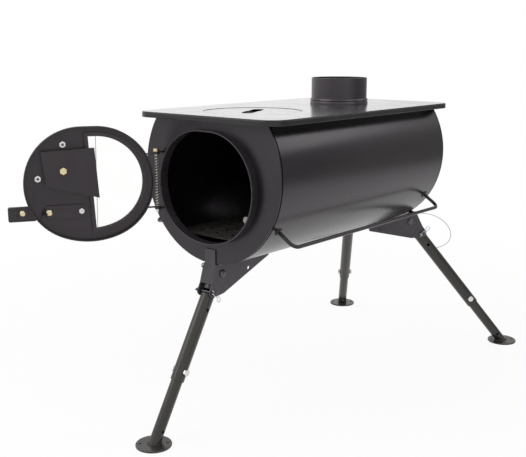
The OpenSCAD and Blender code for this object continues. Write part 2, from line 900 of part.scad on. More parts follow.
module air_baffle() {
    face_y = door_in + baffle_off;
    plate = 1.5;
    color("#3f3b3d")
        door_at()
            difference() {
                door_spot(0, 0) {
                    slab(face_y, face_y + plate) polygon(baffle_corners);
                    slab(door_in, face_y + plate) edge_strip(baffle_corners[0], baffle_corners[1], plate);
                    slab(door_in, face_y + plate) edge_strip(baffle_corners[1], baffle_corners[2], plate);
                    slab(door_in, face_y + plate) edge_strip(baffle_corners[2], baffle_corners[3], plate);
                }
                door_spot(air_x, air_z)
                    rod_y(face_y - cut, face_y + plate + cut, air_bolt_r + hole_fit);
                door_spot(window_edge_top + glass_lap + 3 - big, -big / 2)
                    translate([0, door_in - cut, 0])
                        cube([big, cut + glass_t + frame_t + 0.6, big]);
            }
}

nut_t = 3.2;
nut_flats = 8;
module air_bolt() {
    face_y = door_in + baffle_off + 1.5;
    color("#c9a54a")
        door_at()
            door_spot(air_x, air_z) {
                rod_y(wheel_y0 - nut_t - 2, face_y, air_bolt_r);
                hex_y(face_y, face_y + 4, 10);
                hex_y(wheel_y0 - side_gap - nut_t, wheel_y0 - side_gap, 10);
            }
}

// Two bolts beside the air wheel: their washers hold its edge, their shanks stop its tab
module edge_bolts() {
    color("#bfc1c4")
        door_at()
            door_spot(air_x, air_z)
                for (a = [stop_a1, stop_a2])
                    translate([stop_r * cos(a), 0, stop_r * sin(a)]) {
                        rod_y(wheel_y0 - 3, door_in + nut_t + 1.5, 2);
                        hex_y(door_in, door_in + nut_t, nut_flats);
                        rod_y(wheel_y0 - side_gap - 1, wheel_y0 - side_gap, 7);
                        hex_y(wheel_y0 - side_gap - 1 - 2.8, wheel_y0 - side_gap - 1, 7);
                        rod_y(wheel_y0 - side_gap, door_out, 3.2);
                    }
}

module latch_strip() {
    h = lever_h;
    color("#403d40")
        door_at()
            difference() {
                door_spot(0, latch_z + 0.4)
                    slab(door_in, door_in + 2.5)
                        translate([strip_from, -h / 2])
                            square([strip_to - strip_from, h]);
                door_spot(latch_x, latch_z)
                    rod_y(door_in - cut, door_in + 2.5 + cut, latch_bolt_r + hole_fit);
                door_spot(strip_bolt_x, strip_bolt_z)
                    rod_y(door_in - cut, door_in + 2.5 + cut, 2 + hole_fit);
            }
}

module latch_bolt() {
    color("#c9a54a")
        door_at()
            door_spot(latch_x, latch_z) {
                rod_y(lever_y0 - nut_t - 1.5, door_in + 2.5, latch_bolt_r);
                button_y(door_in + 2.5, 1, 5, 3);
                hex_y(lever_y0 - side_gap - nut_t, lever_y0 - side_gap, 10);
                rod_y(lever_y1 + 0.3, door_out, 5);
            }
}

module strip_bolt() {
    color("#bfc1c4")
        door_at()
            door_spot(strip_bolt_x, strip_bolt_z) {
                rod_y(door_out, door_in + 2.5 + nut_t + 1.2, 2);
                hex_y(door_in + 2.5, door_in + 2.5 + nut_t, nut_flats);
                button_y(door_out, -1, 4, 2.2);
            }
}

// Rotary air wheel on the outside of the door, cut from one sheet with a finger tab bent outwards
module air_wheel() {
    ear_in = tab_w / 40;
    tab_a = (stop_a1 + stop_a2) / 2;
    half = asin(tab_w / 2 / air_r);
    color("#2f2d30")
        door_at()
            door_spot(air_x, air_z) {
                difference() {
                    union() {
                        slab(wheel_y0, wheel_y1)
                            rotate(tab_a)
                                polygon(concat(arc(0, 0, air_r, half, 360 - half, 72),
                                    [[tab_reach, -tab_w / 2], [tab_reach, tab_w / 2]]));
                        rotate([0, -tab_a, 0])
                            translate([tab_reach - wheel_t - ear_in, wheel_y0 - tab_ear, ear_in - tab_w / 2])
                                cube([wheel_t, tab_ear + wheel_t / 2, tab_w - 2 * ear_in]);
                    }
                    slab(wheel_y0 - cut, wheel_y1 + cut)
                        rotate(-20) vents();
                    rod_y(wheel_y0 - cut, wheel_y1 + cut, air_bolt_r + run_fit);
                }
            }
}

// Latch lever outside the door; its finger passes the door and hooks behind the catch
module latch_lever() {
    tail = 12;
    hook_in = catch_y + catch_t / 2 - hinge_y + 0.6;
    color("#2f2d30")
        door_at()
            door_spot(latch_x, latch_z) {
                difference() {
                    union() {
                        translate([0, lever_y0, -lever_h / 2])
                            cube([lever_reach - 3, lever_t, lever_h]);
                        translate([0, lever_y0, -lever_h / 2 + 3])
                            cube([lever_reach, lever_t, lever_h - 6]);
                        for (z = [-1, 1])
                            translate([lever_reach - 3, 0, z * (lever_h / 2 - 3)])
                                rod_y(lever_y0, lever_y1, 3, $fn = 24);
                        rod_y(lever_y0, lever_y1, lever_h / 2);
                    }
                    rod_y(lever_y0 - cut, lever_y1 + cut, latch_bolt_r + run_fit);
                    translate([lever_reach - grip_bolt_in, 0, 0])
                        rod_y(lever_y0 - cut, lever_y1 + cut, 2.5 + hole_fit);
                }
                translate([finger_x0, lever_y0 + cut, finger_z0])
                    cube([finger_x1 - finger_x0, hook_in + 4 - lever_y0 - cut, finger_z1 - finger_z0]);
                translate([finger_x0, hook_in, hook_z0])
                    cube([hook_x1 - finger_x0, 4, finger_z1 - hook_z0]);
            }
}

grip_bolt_in = 6.4;
grip_from = lever_reach - 27.3;
module handle_grip() {
    y1 = lever_y0;
    y0 = y1 - grip_t;
    r = 3;
    color("#1e1d1f")
        door_at()
            door_spot(latch_x, latch_z)
                difference() {
                    translate([grip_from + grip_len / 2, 0, -2.5])
                        slab(y0, y1)
                            rounded_rect(grip_len, grip_h, r, $fn = 32);
                    translate([lever_reach - grip_bolt_in, 0, 0])
                        rod_y(y0 - cut, y1 + cut, 2.5 + hole_fit);
                }
}

module handle_bolt() {
    y0 = lever_y0 - grip_t;
    color("#c9a54a")
        door_at()
            door_spot(latch_x, latch_z)
                translate([lever_reach - grip_bolt_in, 0, 0]) {
                    rod_y(y0, lever_y1, 2.5);
                    button_y(lever_y1, 1, 4.5, 2.4);
                    hex_y(y0 - nut_t, y0, nut_flats);
                }
}

// ---------- leg brackets and their pins ----------

// A bracket's own frame: X outwards from the stove, Y along the pivot bolt, Z up
module bracket_at(leg) {
    translate(leg_pivot(leg))
        rotate([0, 0, leg_turn(leg)])
            rotate([0, -leg_tilt(leg), 0])
                children();
}

// A leg's own frame: the leg runs down its -Z
module leg_at(leg) {
    bracket_at(leg)
        rotate([0, -splay, 0])
            children();
}

// Side view of a cheek: the tail runs inwards under the drum
face_top = 16;
face_top_u = 13.5;
face_low_u = 23;
face_low = -14;
cheek_low = -33;
cheek_low_u = -3;
tail_rise = 42 / 111;
pin_land = 8;
module cheek_outline(tail) {
    tail_w = cheek_low + (tail + cheek_low_u) * tail_rise;
    polygon(concat(
        [[face_top_u, face_top], [face_low_u, face_low]],
        arc(pin_u, pin_w, pin_land, 24, -100, 10),
        [[cheek_low_u, cheek_low], [-tail, tail_w], [-tail, face_top + 14], [-30, face_top + 14],
            [-12, face_top]]));
}

eye_u = 10.5;
eye_w = 7.3;
eye_r = 3;
module bracket(leg, tail) {
    ring = ring_side(leg);
    difference() {
        bracket_at(leg)
            difference() {
                union() {
                    slab(-cheek_out, -cheek_y) cheek_outline(tail);
                    slab(cheek_y, cheek_out) cheek_outline(tail);
                    slab(-cheek_out, cheek_out)
                        polygon([[face_top_u, face_top], [face_low_u, face_low],
                            [face_low_u - sheet, face_low], [face_top_u - sheet, face_top]]);
                    translate([eye_u, -ring * (cheek_out + eye_r - 0.6), eye_w])
                        rotate([0, 90, 0])
                            rotate_extrude($fn = 32)
                                translate([eye_r, 0])
                                    circle(r = 0.8, $fn = 16);
                    if (leg == front_leg)
                        slab(-tongue_w / 2, tongue_w / 2)
                            polygon([[front_inset, face_top - 4], [front_inset + sheet, face_top - 4],
                                [front_inset + sheet, face_top + tongue_h], [front_inset, face_top + tongue_h]]);
                }
                rod_y(-cheek_out - cut, cheek_out + cut, pivot_r + hole_fit);
                translate([pin_u, 0, pin_w])
                    rod_y(-cheek_out - cut, cheek_out + cut, pin_r + hole_fit);
                translate([stow_u, 0, stow_w])
                    rod_y(-cheek_out - cut, cheek_out + cut, pin_r + hole_fit);
            }
        drum(body_r, door_end_y, flue_end_y);
    }
}

module bracket_front() { color("#383639") bracket(front_leg, front_tail); }
module bracket_right() { color("#383639") bracket(right_leg, rear_tail); }
module bracket_left() { color("#383639") bracket(left_leg, rear_tail); }

module pivot_bolt(leg) {
    ring = ring_side(leg);
    color("#1c1b1d")
        bracket_at(leg) {
            rod_y(-cheek_out - 6, cheek_out + 6, pivot_r);
            button_y(ring * cheek_out, ring, 6.5, 3.6);
            hex_y(ring > 0 ? -cheek_out - 4.5 : cheek_out, ring > 0 ? -cheek_out : cheek_out + 4.5, 12);
        }
}

module pivot_bolt_front() { pivot_bolt(front_leg); }
module pivot_bolt_right() { pivot_bolt(right_leg); }
module pivot_bolt_left() { pivot_bolt(left_leg); }

// Lock pin: a head with a lanyard hole on one side, a cross hole for the clip on the other
pin_tip = 8;
pin_head_r = 5;
pin_head_t = 3.5;
clip_stand = 5;
// Direction of each clip in its bracket's plane
function clip_turn(leg) = leg == front_leg ? -137 : 28;
module lock_pin(leg) {
    ring = ring_side(leg);
    color("#1c1b1d")
        bracket_at(leg)
            mirror([0, ring < 0 ? 1 : 0, 0])
                translate([pin_u, 0, pin_w])
                    difference() {
                        union() {
                            rod_y(-cheek_out - pin_head_t, cheek_out + pin_tip, pin_r);
                            rod_y(-cheek_out - pin_head_t, -cheek_out, pin_head_r);
                            rod_y(-cheek_out - pin_head_t - 5, -cheek_out - pin_head_t, 2.5);
                        }
                        translate([0, cheek_out + clip_stand, 0])
                            rotate([0, 90 - clip_turn(leg), 0])
                                cylinder(r = clip_r + 0.15, h = 4 * pin_r, center = true, $fn = 24);
                        translate([0, -cheek_out - pin_head_t - 3, 0])
                            rotate([0, 90, 0])
                                cylinder(r = lanyard_r + 0.4, h = 4 * pin_r, center = true, $fn = 24);
                    }
}

module lock_pin_front() { lock_pin(front_leg); }
module lock_pin_right() { lock_pin(right_leg); }
module lock_pin_left() { lock_pin(left_leg); }

// Straight and bent stretches of wire in the X-Y plane
module wire_line(p, q) {
    translate([p[0], p[1], 0])
        rotate([0, 0, atan2(q[1] - p[1], q[0] - p[0])])
            rotate([0, 90, 0])
                cylinder(r = clip_r, h = norm(q - p), $fn = 24);
}

module wire_arc(c, r, from, to) {
    translate([c[0], c[1], 0])
        rotate([0, 0, from])
            rotate_extrude(angle = to - from, $fn = 48)
                translate([r, 0])
                    circle(r = clip_r, $fn = 24);
}

// Spring clip: one straight leg through the pin, a round end, and a leg that hugs the pin
clip_back = 80;
clip_round = clip_eye + clip_r;
clip_hug = pin_r + clip_r + 0.15;
clip_dip = 1.6;
clip_head = [pin_r + 10, clip_round];
clip_leave = 150;
function on_arc(c, r, a) = c + r * [cos(a), sin(a)];
// The dip's middle lies on the line that touches the round end and, dip_r off, the hugging line
dip_line = clip_hug + clip_dip;
dip_x = (clip_head[0] * cos(clip_leave) + clip_head[1] * sin(clip_leave) + clip_round + clip_dip);
dip_det = cos(clip_leave) * sin(clip_back) - sin(clip_leave) * cos(clip_back);
dip_c = [(dip_x * sin(clip_back) - sin(clip_leave) * dip_line) / dip_det,
    (cos(clip_leave) * dip_line - cos(clip_back) * dip_x) / dip_det];
hug_end = 130;
flare_c = on_arc([0, 0], clip_hug + clip_dip, hug_end);
flare_end = on_arc(flare_c, clip_dip, 240);
module pin_clip(leg) {
    color("#c4c6c8")
        bracket_at(leg)
            translate([pin_u, ring_side(leg) * (cheek_out + clip_stand), pin_w])
                rotate([0, -clip_turn(leg), 0])
                    rotate([90, 0, 0]) {
                        wire_line([-pin_r - 6, 0], [clip_head[0], 0]);
                        wire_arc(clip_head, clip_round, -90, clip_leave);
                        wire_line(on_arc(clip_head, clip_round, clip_leave),
                            on_arc(dip_c, clip_dip, clip_leave + 180));
                        wire_arc(dip_c, clip_dip, clip_back + 180, clip_leave + 180);
                        wire_line(on_arc(dip_c, clip_dip, clip_back + 180), on_arc([0, 0], clip_hug, clip_back));
                        wire_arc([0, 0], clip_hug, clip_back, hug_end);
                        wire_arc(flare_c, clip_dip, 240, hug_end + 180);
                        wire_line(flare_end, flare_end + 2.5 * [cos(150), sin(150)]);
                    }
}

module pin_clip_front() { pin_clip(front_leg); }
module pin_clip_right() { pin_clip(right_leg); }
module pin_clip_left() { pin_clip(left_leg); }

// Lanyard routes in the bracket's frame: outwards, away from the middle, up.
// The tucked one hangs inside the leg's outline and the loose one bows out past it.
tucked_route = [[10.5, 21.5, 7.3], [9, 23, 9.5], [4, 25, 11], [-3, 26, 9.5], [-10, 26, 4],
    [-15, 26, -4], [-17, 26, -13], [-14, 26, -22], [-8, 26, -29], [1, 26, -33], [9, 25, -33],
    [14, 22, -30.5], [16.5, 20.5, -28.5], [18, 20.5, -28]];
loose_route = [[10.5, 21.5, 7.3], [16, 23, 9], [26, 25, 7.5], [40, 26, 1], [55, 26, -4],
    [70, 26, -12.5], [83, 26, -24], [91, 26, -36], [95, 26, -47], [95, 26, -57], [91, 26, -66],
    [83, 26, -72], [73, 26, -75], [62, 26, -75.5], [50, 26, -73], [39, 26, -67], [30, 26, -58],
    [23, 25.5, -47], [19, 24, -38], [16.5, 21.5, -31.5], [17, 20.5, -28.5], [18, 20.5, -28]];

// Catmull-Rom curve through a route's points
function curve(r, i, t) =
    let (n = len(r), a = r[max(i - 1, 0)], b = r[i], c = r[i + 1], d = r[min(i + 2, n - 1)])
    0.5 * (2 * b + (c - a) * t + (2 * a - 5 * b + 4 * c - d) * t * t
        + (3 * b - a - 3 * c + d) * t * t * t);
function route_points(r, k) = concat(
    [for (i = [0:len(r) - 2]) for (j = [0:k - 1]) curve(r, i, j / k)], [r[len(r) - 1]]);
function sided(p, side) = [p[0], p[1] * side, p[2]];

module lanyard(leg, route, k) {
    side = -ring_side(leg);
    p = [for (q = route_points(route, k)) sided(q, side)];
    n = len(p);
    rings = [for (i = [0:n - 1])
        ring_points(p[i], p[min(i + 1, n - 1)] - p[max(i - 1, 0)], lanyard_r, 8)];
    color("#8c8d90")
        bracket_at(leg)
            tube(rings);
}

module lanyard_front() { lanyard(front_leg, tucked_route, 2); }
module lanyard_right() { lanyard(right_leg, loose_route, 1); }
module lanyard_left() { lanyard(left_leg, tucked_route, 2); }

// ---------- legs ----------

relief = 1.7;
module leg_tube(leg) {
    l = leg_outer(leg);
    color("#3a383b")
        leg_at(leg)
            difference() {
                union() {
                    translate([0, 0, -l])
                        cylinder(r = outer_r, h = l);
                    intersection() {
                        translate([0, 0, -1])
                            cylinder(r = outer_r, h = head_r + 2);
                        rod_y(-outer_r - cut, outer_r + cut, head_r);
                    }
                }
                translate([0, 0, -l - cut])
                    cylinder(r = outer_bore, h = l + head_r + 2 * cut);
                rod_y(-outer_r - cut, outer_r + cut, pivot_r + run_fit);
                translate([pin_out, 0, -pin_along])
                    rod_y(-outer_r - cut, outer_r + cut, pin_r + hole_fit);
                translate([pin_out, -outer_r - cut, -pin_along - pin_r - hole_fit])
                    cube([outer_r, 2 * outer_r + 2 * cut, 2 * (pin_r + hole_fit) + relief]);
                translate([0, 0, -stow_along])
                    rod_y(-outer_r - cut, outer_r + cut, pin_r + hole_fit);
                translate([0, 0, -l + clamp_up])
                    rod_y(-outer_r - cut, outer_r + cut, clamp_r);
            }
}

module leg_tube_front() { leg_tube(front_leg); }
module leg_tube_right() { leg_tube(right_leg); }
module leg_tube_left() { leg_tube(left_leg); }

module clamp_screws(leg) {
    color("#c4c6c8")
        leg_at(leg)
            translate([0, 0, -leg_outer(leg) + clamp_up])
                for (side = [-1, 1])
                    mirror([0, side < 0 ? 1 : 0, 0]) {
                        rod_y(inner_r + hole_fit, outer_r + 1, clamp_r);
                        hex_y(outer_r + 0.2, outer_r + 4, 8);
                    }
}

module clamp_screws_front() { clamp_screws(front_leg); }
module clamp_screws_right() { clamp_screws(right_leg); }
module clamp_screws_left() { clamp_screws(left_leg); }

module inner_tube(leg) {
    top = leg_outer(leg) - overlap;
    l = leg_len(leg) + 2 * inner_r;
    color("#343235")
        difference() {
            leg_at(leg)
                difference() {
                    translate([0, 0, -l])
                        cylinder(r = inner_r, h = l - top);
                    translate([0, 0, -l - cut])
                        cylinder(r = inner_bore, h = l - top + 2 * cut);
                    translate([0, 0, -leg_len(leg) + foot_hole_up])
                        rod_y(-outer_r, outer_r, clamp_r, $fn = 48);
                }
            translate(leg_foot(leg) - [big / 2, big / 2, big - foot_t])
                cube(big);
        }
}

module inner_tube_front() { inner_tube(front_leg); }
module inner_tube_right() { inner_tube(right_leg); }
module inner_tube_left() { inner_tube(left_leg); }

module foot_disc(leg) {
    edge = 0.6;
    color("#2a292b")
        translate(leg_foot(leg))
            difference() {
                rotate_extrude()
                    polygon([[0, 0], [foot_r, 0], [foot_r, foot_t - edge], [foot_r - edge, foot_t],
                        [0, foot_t]]);
                for (a = [45:90:315])
                    rotate(a)
                        translate([peg_circle_r, 0, -cut])
                            cylinder(r = peg_r, h = foot_t + 2 * cut, $fn = 32);
            }
}

module foot_disc_front() { foot_disc(front_leg); }
module foot_disc_right() { foot_disc(right_leg); }
module foot_disc_left() { foot_disc(left_leg); }

body_shell();
front_plate();
rear_plate();
door_rim();
cooking_plate();
lid_seat();
flue_collar();
rail_right();
rail_left();
hinge_lugs();
hinge_bolt();
hinge_nut();
hinge_spring();
door_catch();
fire_grate();
bracket_front();
bracket_right();
bracket_left();
pivot_bolt_front();
pivot_bolt_right();
pivot_bolt_left();
lock_pin_front();
lock_pin_right();
lock_pin_left();
pin_clip_front();
pin_clip_right();
pin_clip_left();
lanyard_front();
lanyard_right();
lanyard_left();
door_panel();
door_lugs();
window_glass();
window_frame();
air_baffle();
air_bolt();
edge_bolts();
latch_strip();
latch_bolt();
strip_bolt();
air_wheel();
latch_lever();
handle_grip();
handle_bolt();
hot_plate();
leg_tube_front();
leg_tube_right();
leg_tube_left();
clamp_screws_front();
clamp_screws_right();
clamp_screws_left();
inner_tube_front();
inner_tube_right();
inner_tube_left();
foot_disc_front();
foot_disc_right();
foot_disc_left();
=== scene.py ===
"""Finishes, wire parts, fasteners and welds of a small drum stove on three folding legs.

Lengths in the shape functions are in millimetres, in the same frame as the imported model.
The meshes are written in metres.
"""

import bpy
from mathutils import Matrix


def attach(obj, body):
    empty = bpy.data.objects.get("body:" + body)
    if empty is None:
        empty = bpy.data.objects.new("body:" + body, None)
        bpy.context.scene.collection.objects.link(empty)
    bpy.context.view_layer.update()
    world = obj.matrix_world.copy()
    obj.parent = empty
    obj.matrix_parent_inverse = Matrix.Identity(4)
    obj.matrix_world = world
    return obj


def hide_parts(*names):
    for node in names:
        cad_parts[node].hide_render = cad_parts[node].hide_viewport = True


bl_info = {
    "name": "Tent wood stove",
    "version": (1, 0, 0),
    "blender": (4, 5, 0),
    "location": "3D View > Sidebar > Stove",
    "description": "Adds the finishes, springs, wire ropes, fasteners and welds of a small drum stove",
    "category": "Object",
}

import math

import bpy
import numpy as np
from mathutils import Vector

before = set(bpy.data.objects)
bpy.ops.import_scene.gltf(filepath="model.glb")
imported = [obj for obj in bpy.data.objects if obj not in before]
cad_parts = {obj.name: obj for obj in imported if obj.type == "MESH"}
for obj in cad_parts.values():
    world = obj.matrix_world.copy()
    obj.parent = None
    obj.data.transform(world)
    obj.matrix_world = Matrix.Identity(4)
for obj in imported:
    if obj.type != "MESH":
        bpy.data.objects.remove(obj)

MM = 0.001


# ---------- frames ----------


def unit(v):
    """The vectors of v, each divided by its own length."""
    return v / np.linalg.norm(v, axis=-1, keepdims=True)


def turn(axis, degrees):
    """Right-handed rotation about X, Y or Z as a 3 x 3 matrix."""
    c, s = math.cos(math.radians(degrees)), math.sin(math.radians(degrees))
    return np.array(
        {
            "x": [[1, 0, 0], [0, c, -s], [0, s, c]],
            "y": [[c, 0, s], [0, 1, 0], [-s, 0, c]],
            "z": [[c, -s, 0], [s, c, 0], [0, 0, 1]],
        }[axis]
    )


class Place:
    """A piece's own frame: an origin, and the three axes as the columns of a matrix."""

    def __init__(self, origin, axes=np.eye(3)):
        self.origin, self.axes = np.array(origin, float), np.array(axes, float)

    def at(self, points):
        """Points of this frame in the frame of the whole stove."""
        return self.origin + np.asarray(points, float) @ self.axes.T

    def inner(self, origin, axes=np.eye(3)):
        """A frame given in this one."""
        return Place(self.at(origin), self.axes @ np.array(axes, float))


# The axis that lathe() and hexagon() stand on becomes Y, or its opposite
ALONG_Y = np.array([[1, 0, 0], [0, 0, -1], [0, 1, 0]]).T
AGAINST_Y = np.array([[1, 0, 0], [0, 0, 1], [0, -1, 0]]).T

# The drum: its axis's height, its radius and where it begins and ends along Y
AXIS_Z, DRUM_R = 404.5, 143.5
DOOR_END_Y, FLUE_END_Y = 131.16, 608.16

# The lift-out hot plate: the middle of its underside, and its radius
LID, LID_R = (0, 232.76, 493.5), 80

# The hinge, and the open door's own frame
DOOR_OPEN = 121.6
HINGE_X, HINGE_Y = -107.5, 119.66
HINGE = Place([HINGE_X, HINGE_Y, 385.0])
DOOR = Place([HINGE_X, HINGE_Y, 0], turn("z", -DOOR_OPEN))
DOOR_MIDDLE = (-HINGE_X, 383.45)

# The rim's rounded D: the belly's radius, the flat top's height, the corners' radius, its middle's Z
RIM = (119.2, 58.5, 87.8)
RIM_Z = 413.8

# Sheet faces of the door and the layers outside it, along the door's inward direction
DOOR_OUT, DOOR_IN = -4.5, -2.5
STRIP_FACE = 0.0
BAFFLE_FACE = 7.0
WHEEL_FACE = -6.5
LEVER_FACE, LEVER_BACK = -10.7, -7.7

# Bolts on the door, in x and z from its middle, and the circle of the two beside the air wheel
AIR_BOLT = (41.2, 24.2)
STOP_R, STOP_ANGLES = 40.4, (92.1, -17.3)
STRIP_BOLT = (15, -41.6)
LATCH_BOLT = (65, -42)
GRIP_REACH = 40.1

# For each leg: its pivot, its bracket's turn and tilt, the side of the pivot bolt's head along the
# bracket's Y, which the lanyard is opposite to, and the length of the outer tube
LEGS = {
    "front": dict(pivot=(0, 142.66, 245.1), turn=-90, tilt=0, head=1, outer=181.0),
    "right": dict(pivot=(69.1, 616.26, 264.0), turn=52, tilt=9, head=-1, outer=229.0),
    "left": dict(pivot=(-69.1, 616.26, 264.0), turn=128, tilt=9, head=1, outer=229.0),
}
SPLAY = 30.2

# Outer face of a bracket's cheek from its middle, radius of an inner tube, top of a foot disc
CHEEK = 14
INNER_R = 9.25
FOOT_TOP = 3.2

# Where the rails' weld collars stand along Y, and how far down the drum's side in degrees
COLLAR_YS = (154.16, 585.16)
COLLAR_LEAN = 33.5

# Outer ends of the hinge from its middle
HINGE_END = 47.0


def bracket_place(leg):
    """A bracket's frame: X outwards from the stove, Y along the pivot bolt."""
    g = LEGS[leg]
    return Place(g["pivot"], turn("z", g["turn"]) @ turn("y", -g["tilt"]))


def leg_place(leg):
    """A leg's frame: the leg runs down its own -Z."""
    return bracket_place(leg).inner((0, 0, 0), turn("y", -SPLAY))


def door_spot(x, z, axes=np.eye(3)):
    """A frame on the door, measured from the door's middle."""
    return DOOR.inner([DOOR_MIDDLE[0] + x, 0, DOOR_MIDDLE[1] + z], axes)


# ---------- surfaces ----------


def angles(count):
    """Angles spread evenly over a full turn."""
    return np.linspace(0, 2 * math.pi, count, endpoint=False)


def around(r, angle, h):
    """Points at the radii r, angles and heights h round Z."""
    return np.stack(np.broadcast_arrays(r * np.cos(angle), r * np.sin(angle), h), -1)


def distances(path):
    """How far along the line each of its points is."""
    return np.concatenate([[0], np.cumsum(np.linalg.norm(np.diff(path, axis=0), axis=1))])


def skin(points, ends=True, loop=False):
    """Vertices and outward quads of a grid of points, whose second index runs round and closes.

    Quad (i, j) joins rings i and i + 1 between stations j and j + 1. With ends, each end ring is
    closed by a fan on its own middle; with loop, the last ring joins the first.
    """
    n, m = points.shape[:2]
    index = np.arange(n * m).reshape(n, m)
    low = index if loop else index[:-1]
    high = np.roll(index, -1, axis=0) if loop else index[1:]
    quads = np.stack([low, np.roll(low, -1, 1), np.roll(high, -1, 1), high], -1).reshape(-1, 4)
    verts = points.reshape(-1, 3)
    faces = quads.tolist()
    if ends and not loop:
        verts = np.vstack([verts, points[0].mean(0), points[-1].mean(0)])
        after = np.roll(index, -1, axis=1)
        first = np.stack([np.full(m, n * m), after[0], index[0]], -1)
        last = np.stack([np.full(m, n * m + 1), index[-1], after[-1]], -1)
        faces += first.tolist() + last.tolist()
    return verts, faces


def joined(*parts):
    """Several closed skins as one list of vertices and faces."""
    verts, faces, base = [], [], 0
    for v, f in parts:
        verts.append(v)
        faces += [[i + base for i in face] for face in f]
        base += len(v)
    return np.vstack(verts), faces


def swept(path, radius, side, sides, loop=False):
    """A tube: each path point plus radius * (cos a * A + sin a * B), where A is across the path
    and the side direction, and B is across the path and A. radius is one number, one for each
    point, or one for each point and angle."""
    path = np.asarray(path, float)
    if loop:
        along = unit(np.roll(path, -1, 0) - np.roll(path, 1, 0))
    else:
        along = unit(np.gradient(path, axis=0))
    a = unit(np.cross(np.broadcast_to(side, path.shape), along))
    b = np.cross(along, a)
    angle = angles(sides)
    r = np.asarray(radius, float)
    r = np.broadcast_to(r[:, None] if r.ndim == 1 else r, (len(path), sides))[..., None]
    ring = np.cos(angle)[None, :, None] * a[:, None] + np.sin(angle)[None, :, None] * b[:, None]
    return skin(path[:, None] + r * ring, ends=not loop, loop=loop)


def lathe(place, profile, sides=64):
    """A profile of (radius, height) pairs turned about the place's Z."""
    r, h = np.asarray(profile, float).T[..., None]
    return skin(place.at(around(r, angles(sides), h)))


def thread(place, low, high, radius, pitch=0.8, depth=0.3):
    """A screw thread: the radius falls by depth * |2 f - 1|, where f is the fraction of a turn
    left over from height / pitch - angle / full turn. Over the last 0.8 pitch it narrows to 0.78
    of itself."""
    h = np.linspace(low, high, max(int((high - low) / pitch * 8), 12))[:, None]
    angle = angles(28)
    f = np.mod(h / pitch - angle / (2 * math.pi), 1)
    tip = np.clip((high - h) / (0.8 * pitch), 0, 1)
    r = (radius - depth * np.abs(2 * f - 1)) * (0.78 + 0.22 * tip)
    return skin(place.at(around(r, angle, h)))


def hexagon(place, low, high, flats):
    """A hexagon nut or head. The flats lie at flats / 2 / cos(angle past the nearest flat), and a
    28 degree cone from a round face takes the corners down."""
    angle = angles(96)
    edge = flats / 2 / np.cos(np.mod(angle + math.pi / 6, math.pi / 3) - math.pi / 6)
    face = 0.955 * flats / 2
    drop = (edge - face) * math.tan(math.radians(28))
    rings = [(face, low), (edge, low + drop), (edge, high - drop), (face, high), (0.86 * face, high)]
    return skin(place.at(np.array([around(r, angle, h) for r, h in rings])))


def disc(place, low, high, radius, edge=0.25):
    """A washer or a round flange with broken edges."""
    near, far = radius - edge, radius
    return lathe(place, [(near, low), (far, low + edge), (far, high - edge), (near, high)])


def dome(place, low, radius, height):
    """A low domed head: a short cylinder, then a part of an ellipse up to the middle."""
    a = np.linspace(0, math.pi / 2, 14)
    rim = 0.3 * height
    profile = [(radius * 0.97, low), (radius, low + 0.08 * height)]
    profile += list(zip(radius * np.cos(a) ** 0.8, low + rim + (height - rim) * np.sin(a)))
    return lathe(place, np.maximum(profile, [[0.02, -1e9]]))


def rope(path, radius, side, lay):
    """A laid wire rope: a tube whose radius is radius * (1 - waist * (1 - |cos(strands / 2 *
    (angle + twist)|)), with one full twist for each lay length along it."""
    sides, strands, waist = 36, 6, 0.16
    twist = 2 * math.pi * distances(path)[:, None] / lay
    r = radius * (1 - waist * (1 - np.abs(np.cos(strands / 2 * (angles(sides) + twist)))))
    return swept(path, r, side, sides)


def bead(path, radius, side, loop, pitch, ripple):
    """A weld bead: a tube whose radius swells by ripple at every pitch along it, each swell a
    rounded scale that leans one way, and tapers off at its ends."""
    run = distances(path)
    scale = np.mod(run / pitch + 0.25 * np.sin(run * 0.37), 1) ** 0.6
    r = radius * (1 - ripple + ripple * 2 * np.sin(math.pi * scale))
    if not loop:
        end = np.minimum(run, run[-1] - run)
        r = r * np.clip(0.25 + 0.75 * np.sqrt(np.clip(end / (1.4 * radius), 0, 1)), 0, 1)
    return swept(path, r, side, 12, loop)


def smooth_curve(points, steps, closed=False):
    """Catmull-Rom curve: between b and c, half of 2 b + (c - a) t + (2 a - 5 b + 4 c - d) t^2 +
    (3 b - a - 3 c + d) t^3, at steps stations for each stretch."""
    p = np.asarray(points, float)
    if closed:
        a, b, c, d = np.roll(p, 1, 0), p, np.roll(p, -1, 0), np.roll(p, -2, 0)
    else:
        q = np.vstack([p[:1], p, p[-1:]])
        a, b, c, d = q[:-3], q[1:-2], q[2:-1], q[3:]
    t = (np.arange(steps) / steps)[None, :, None]
    a, b, c, d = (x[:, None] for x in (a, b, c, d))
    s = 2 * b + (c - a) * t + (2 * a - 5 * b + 4 * c - d) * t**2 + (3 * b - a - 3 * c + d) * t**3
    s = 0.5 * s.reshape(-1, 3)
    return s if closed else np.vstack([s, p[-1:]])


def resampled(points, spacing, closed=False):
    """The same line with stations a fixed distance apart."""
    p = np.asarray(points, float)
    if closed:
        p = np.vstack([p, p[:1]])
    run = distances(p)
    s = np.linspace(0, run[-1], max(int(run[-1] / spacing), 8) + 1)
    out = np.stack([np.interp(s, run, p[:, k]) for k in range(p.shape[1])], -1)
    return out[:-1] if closed else out


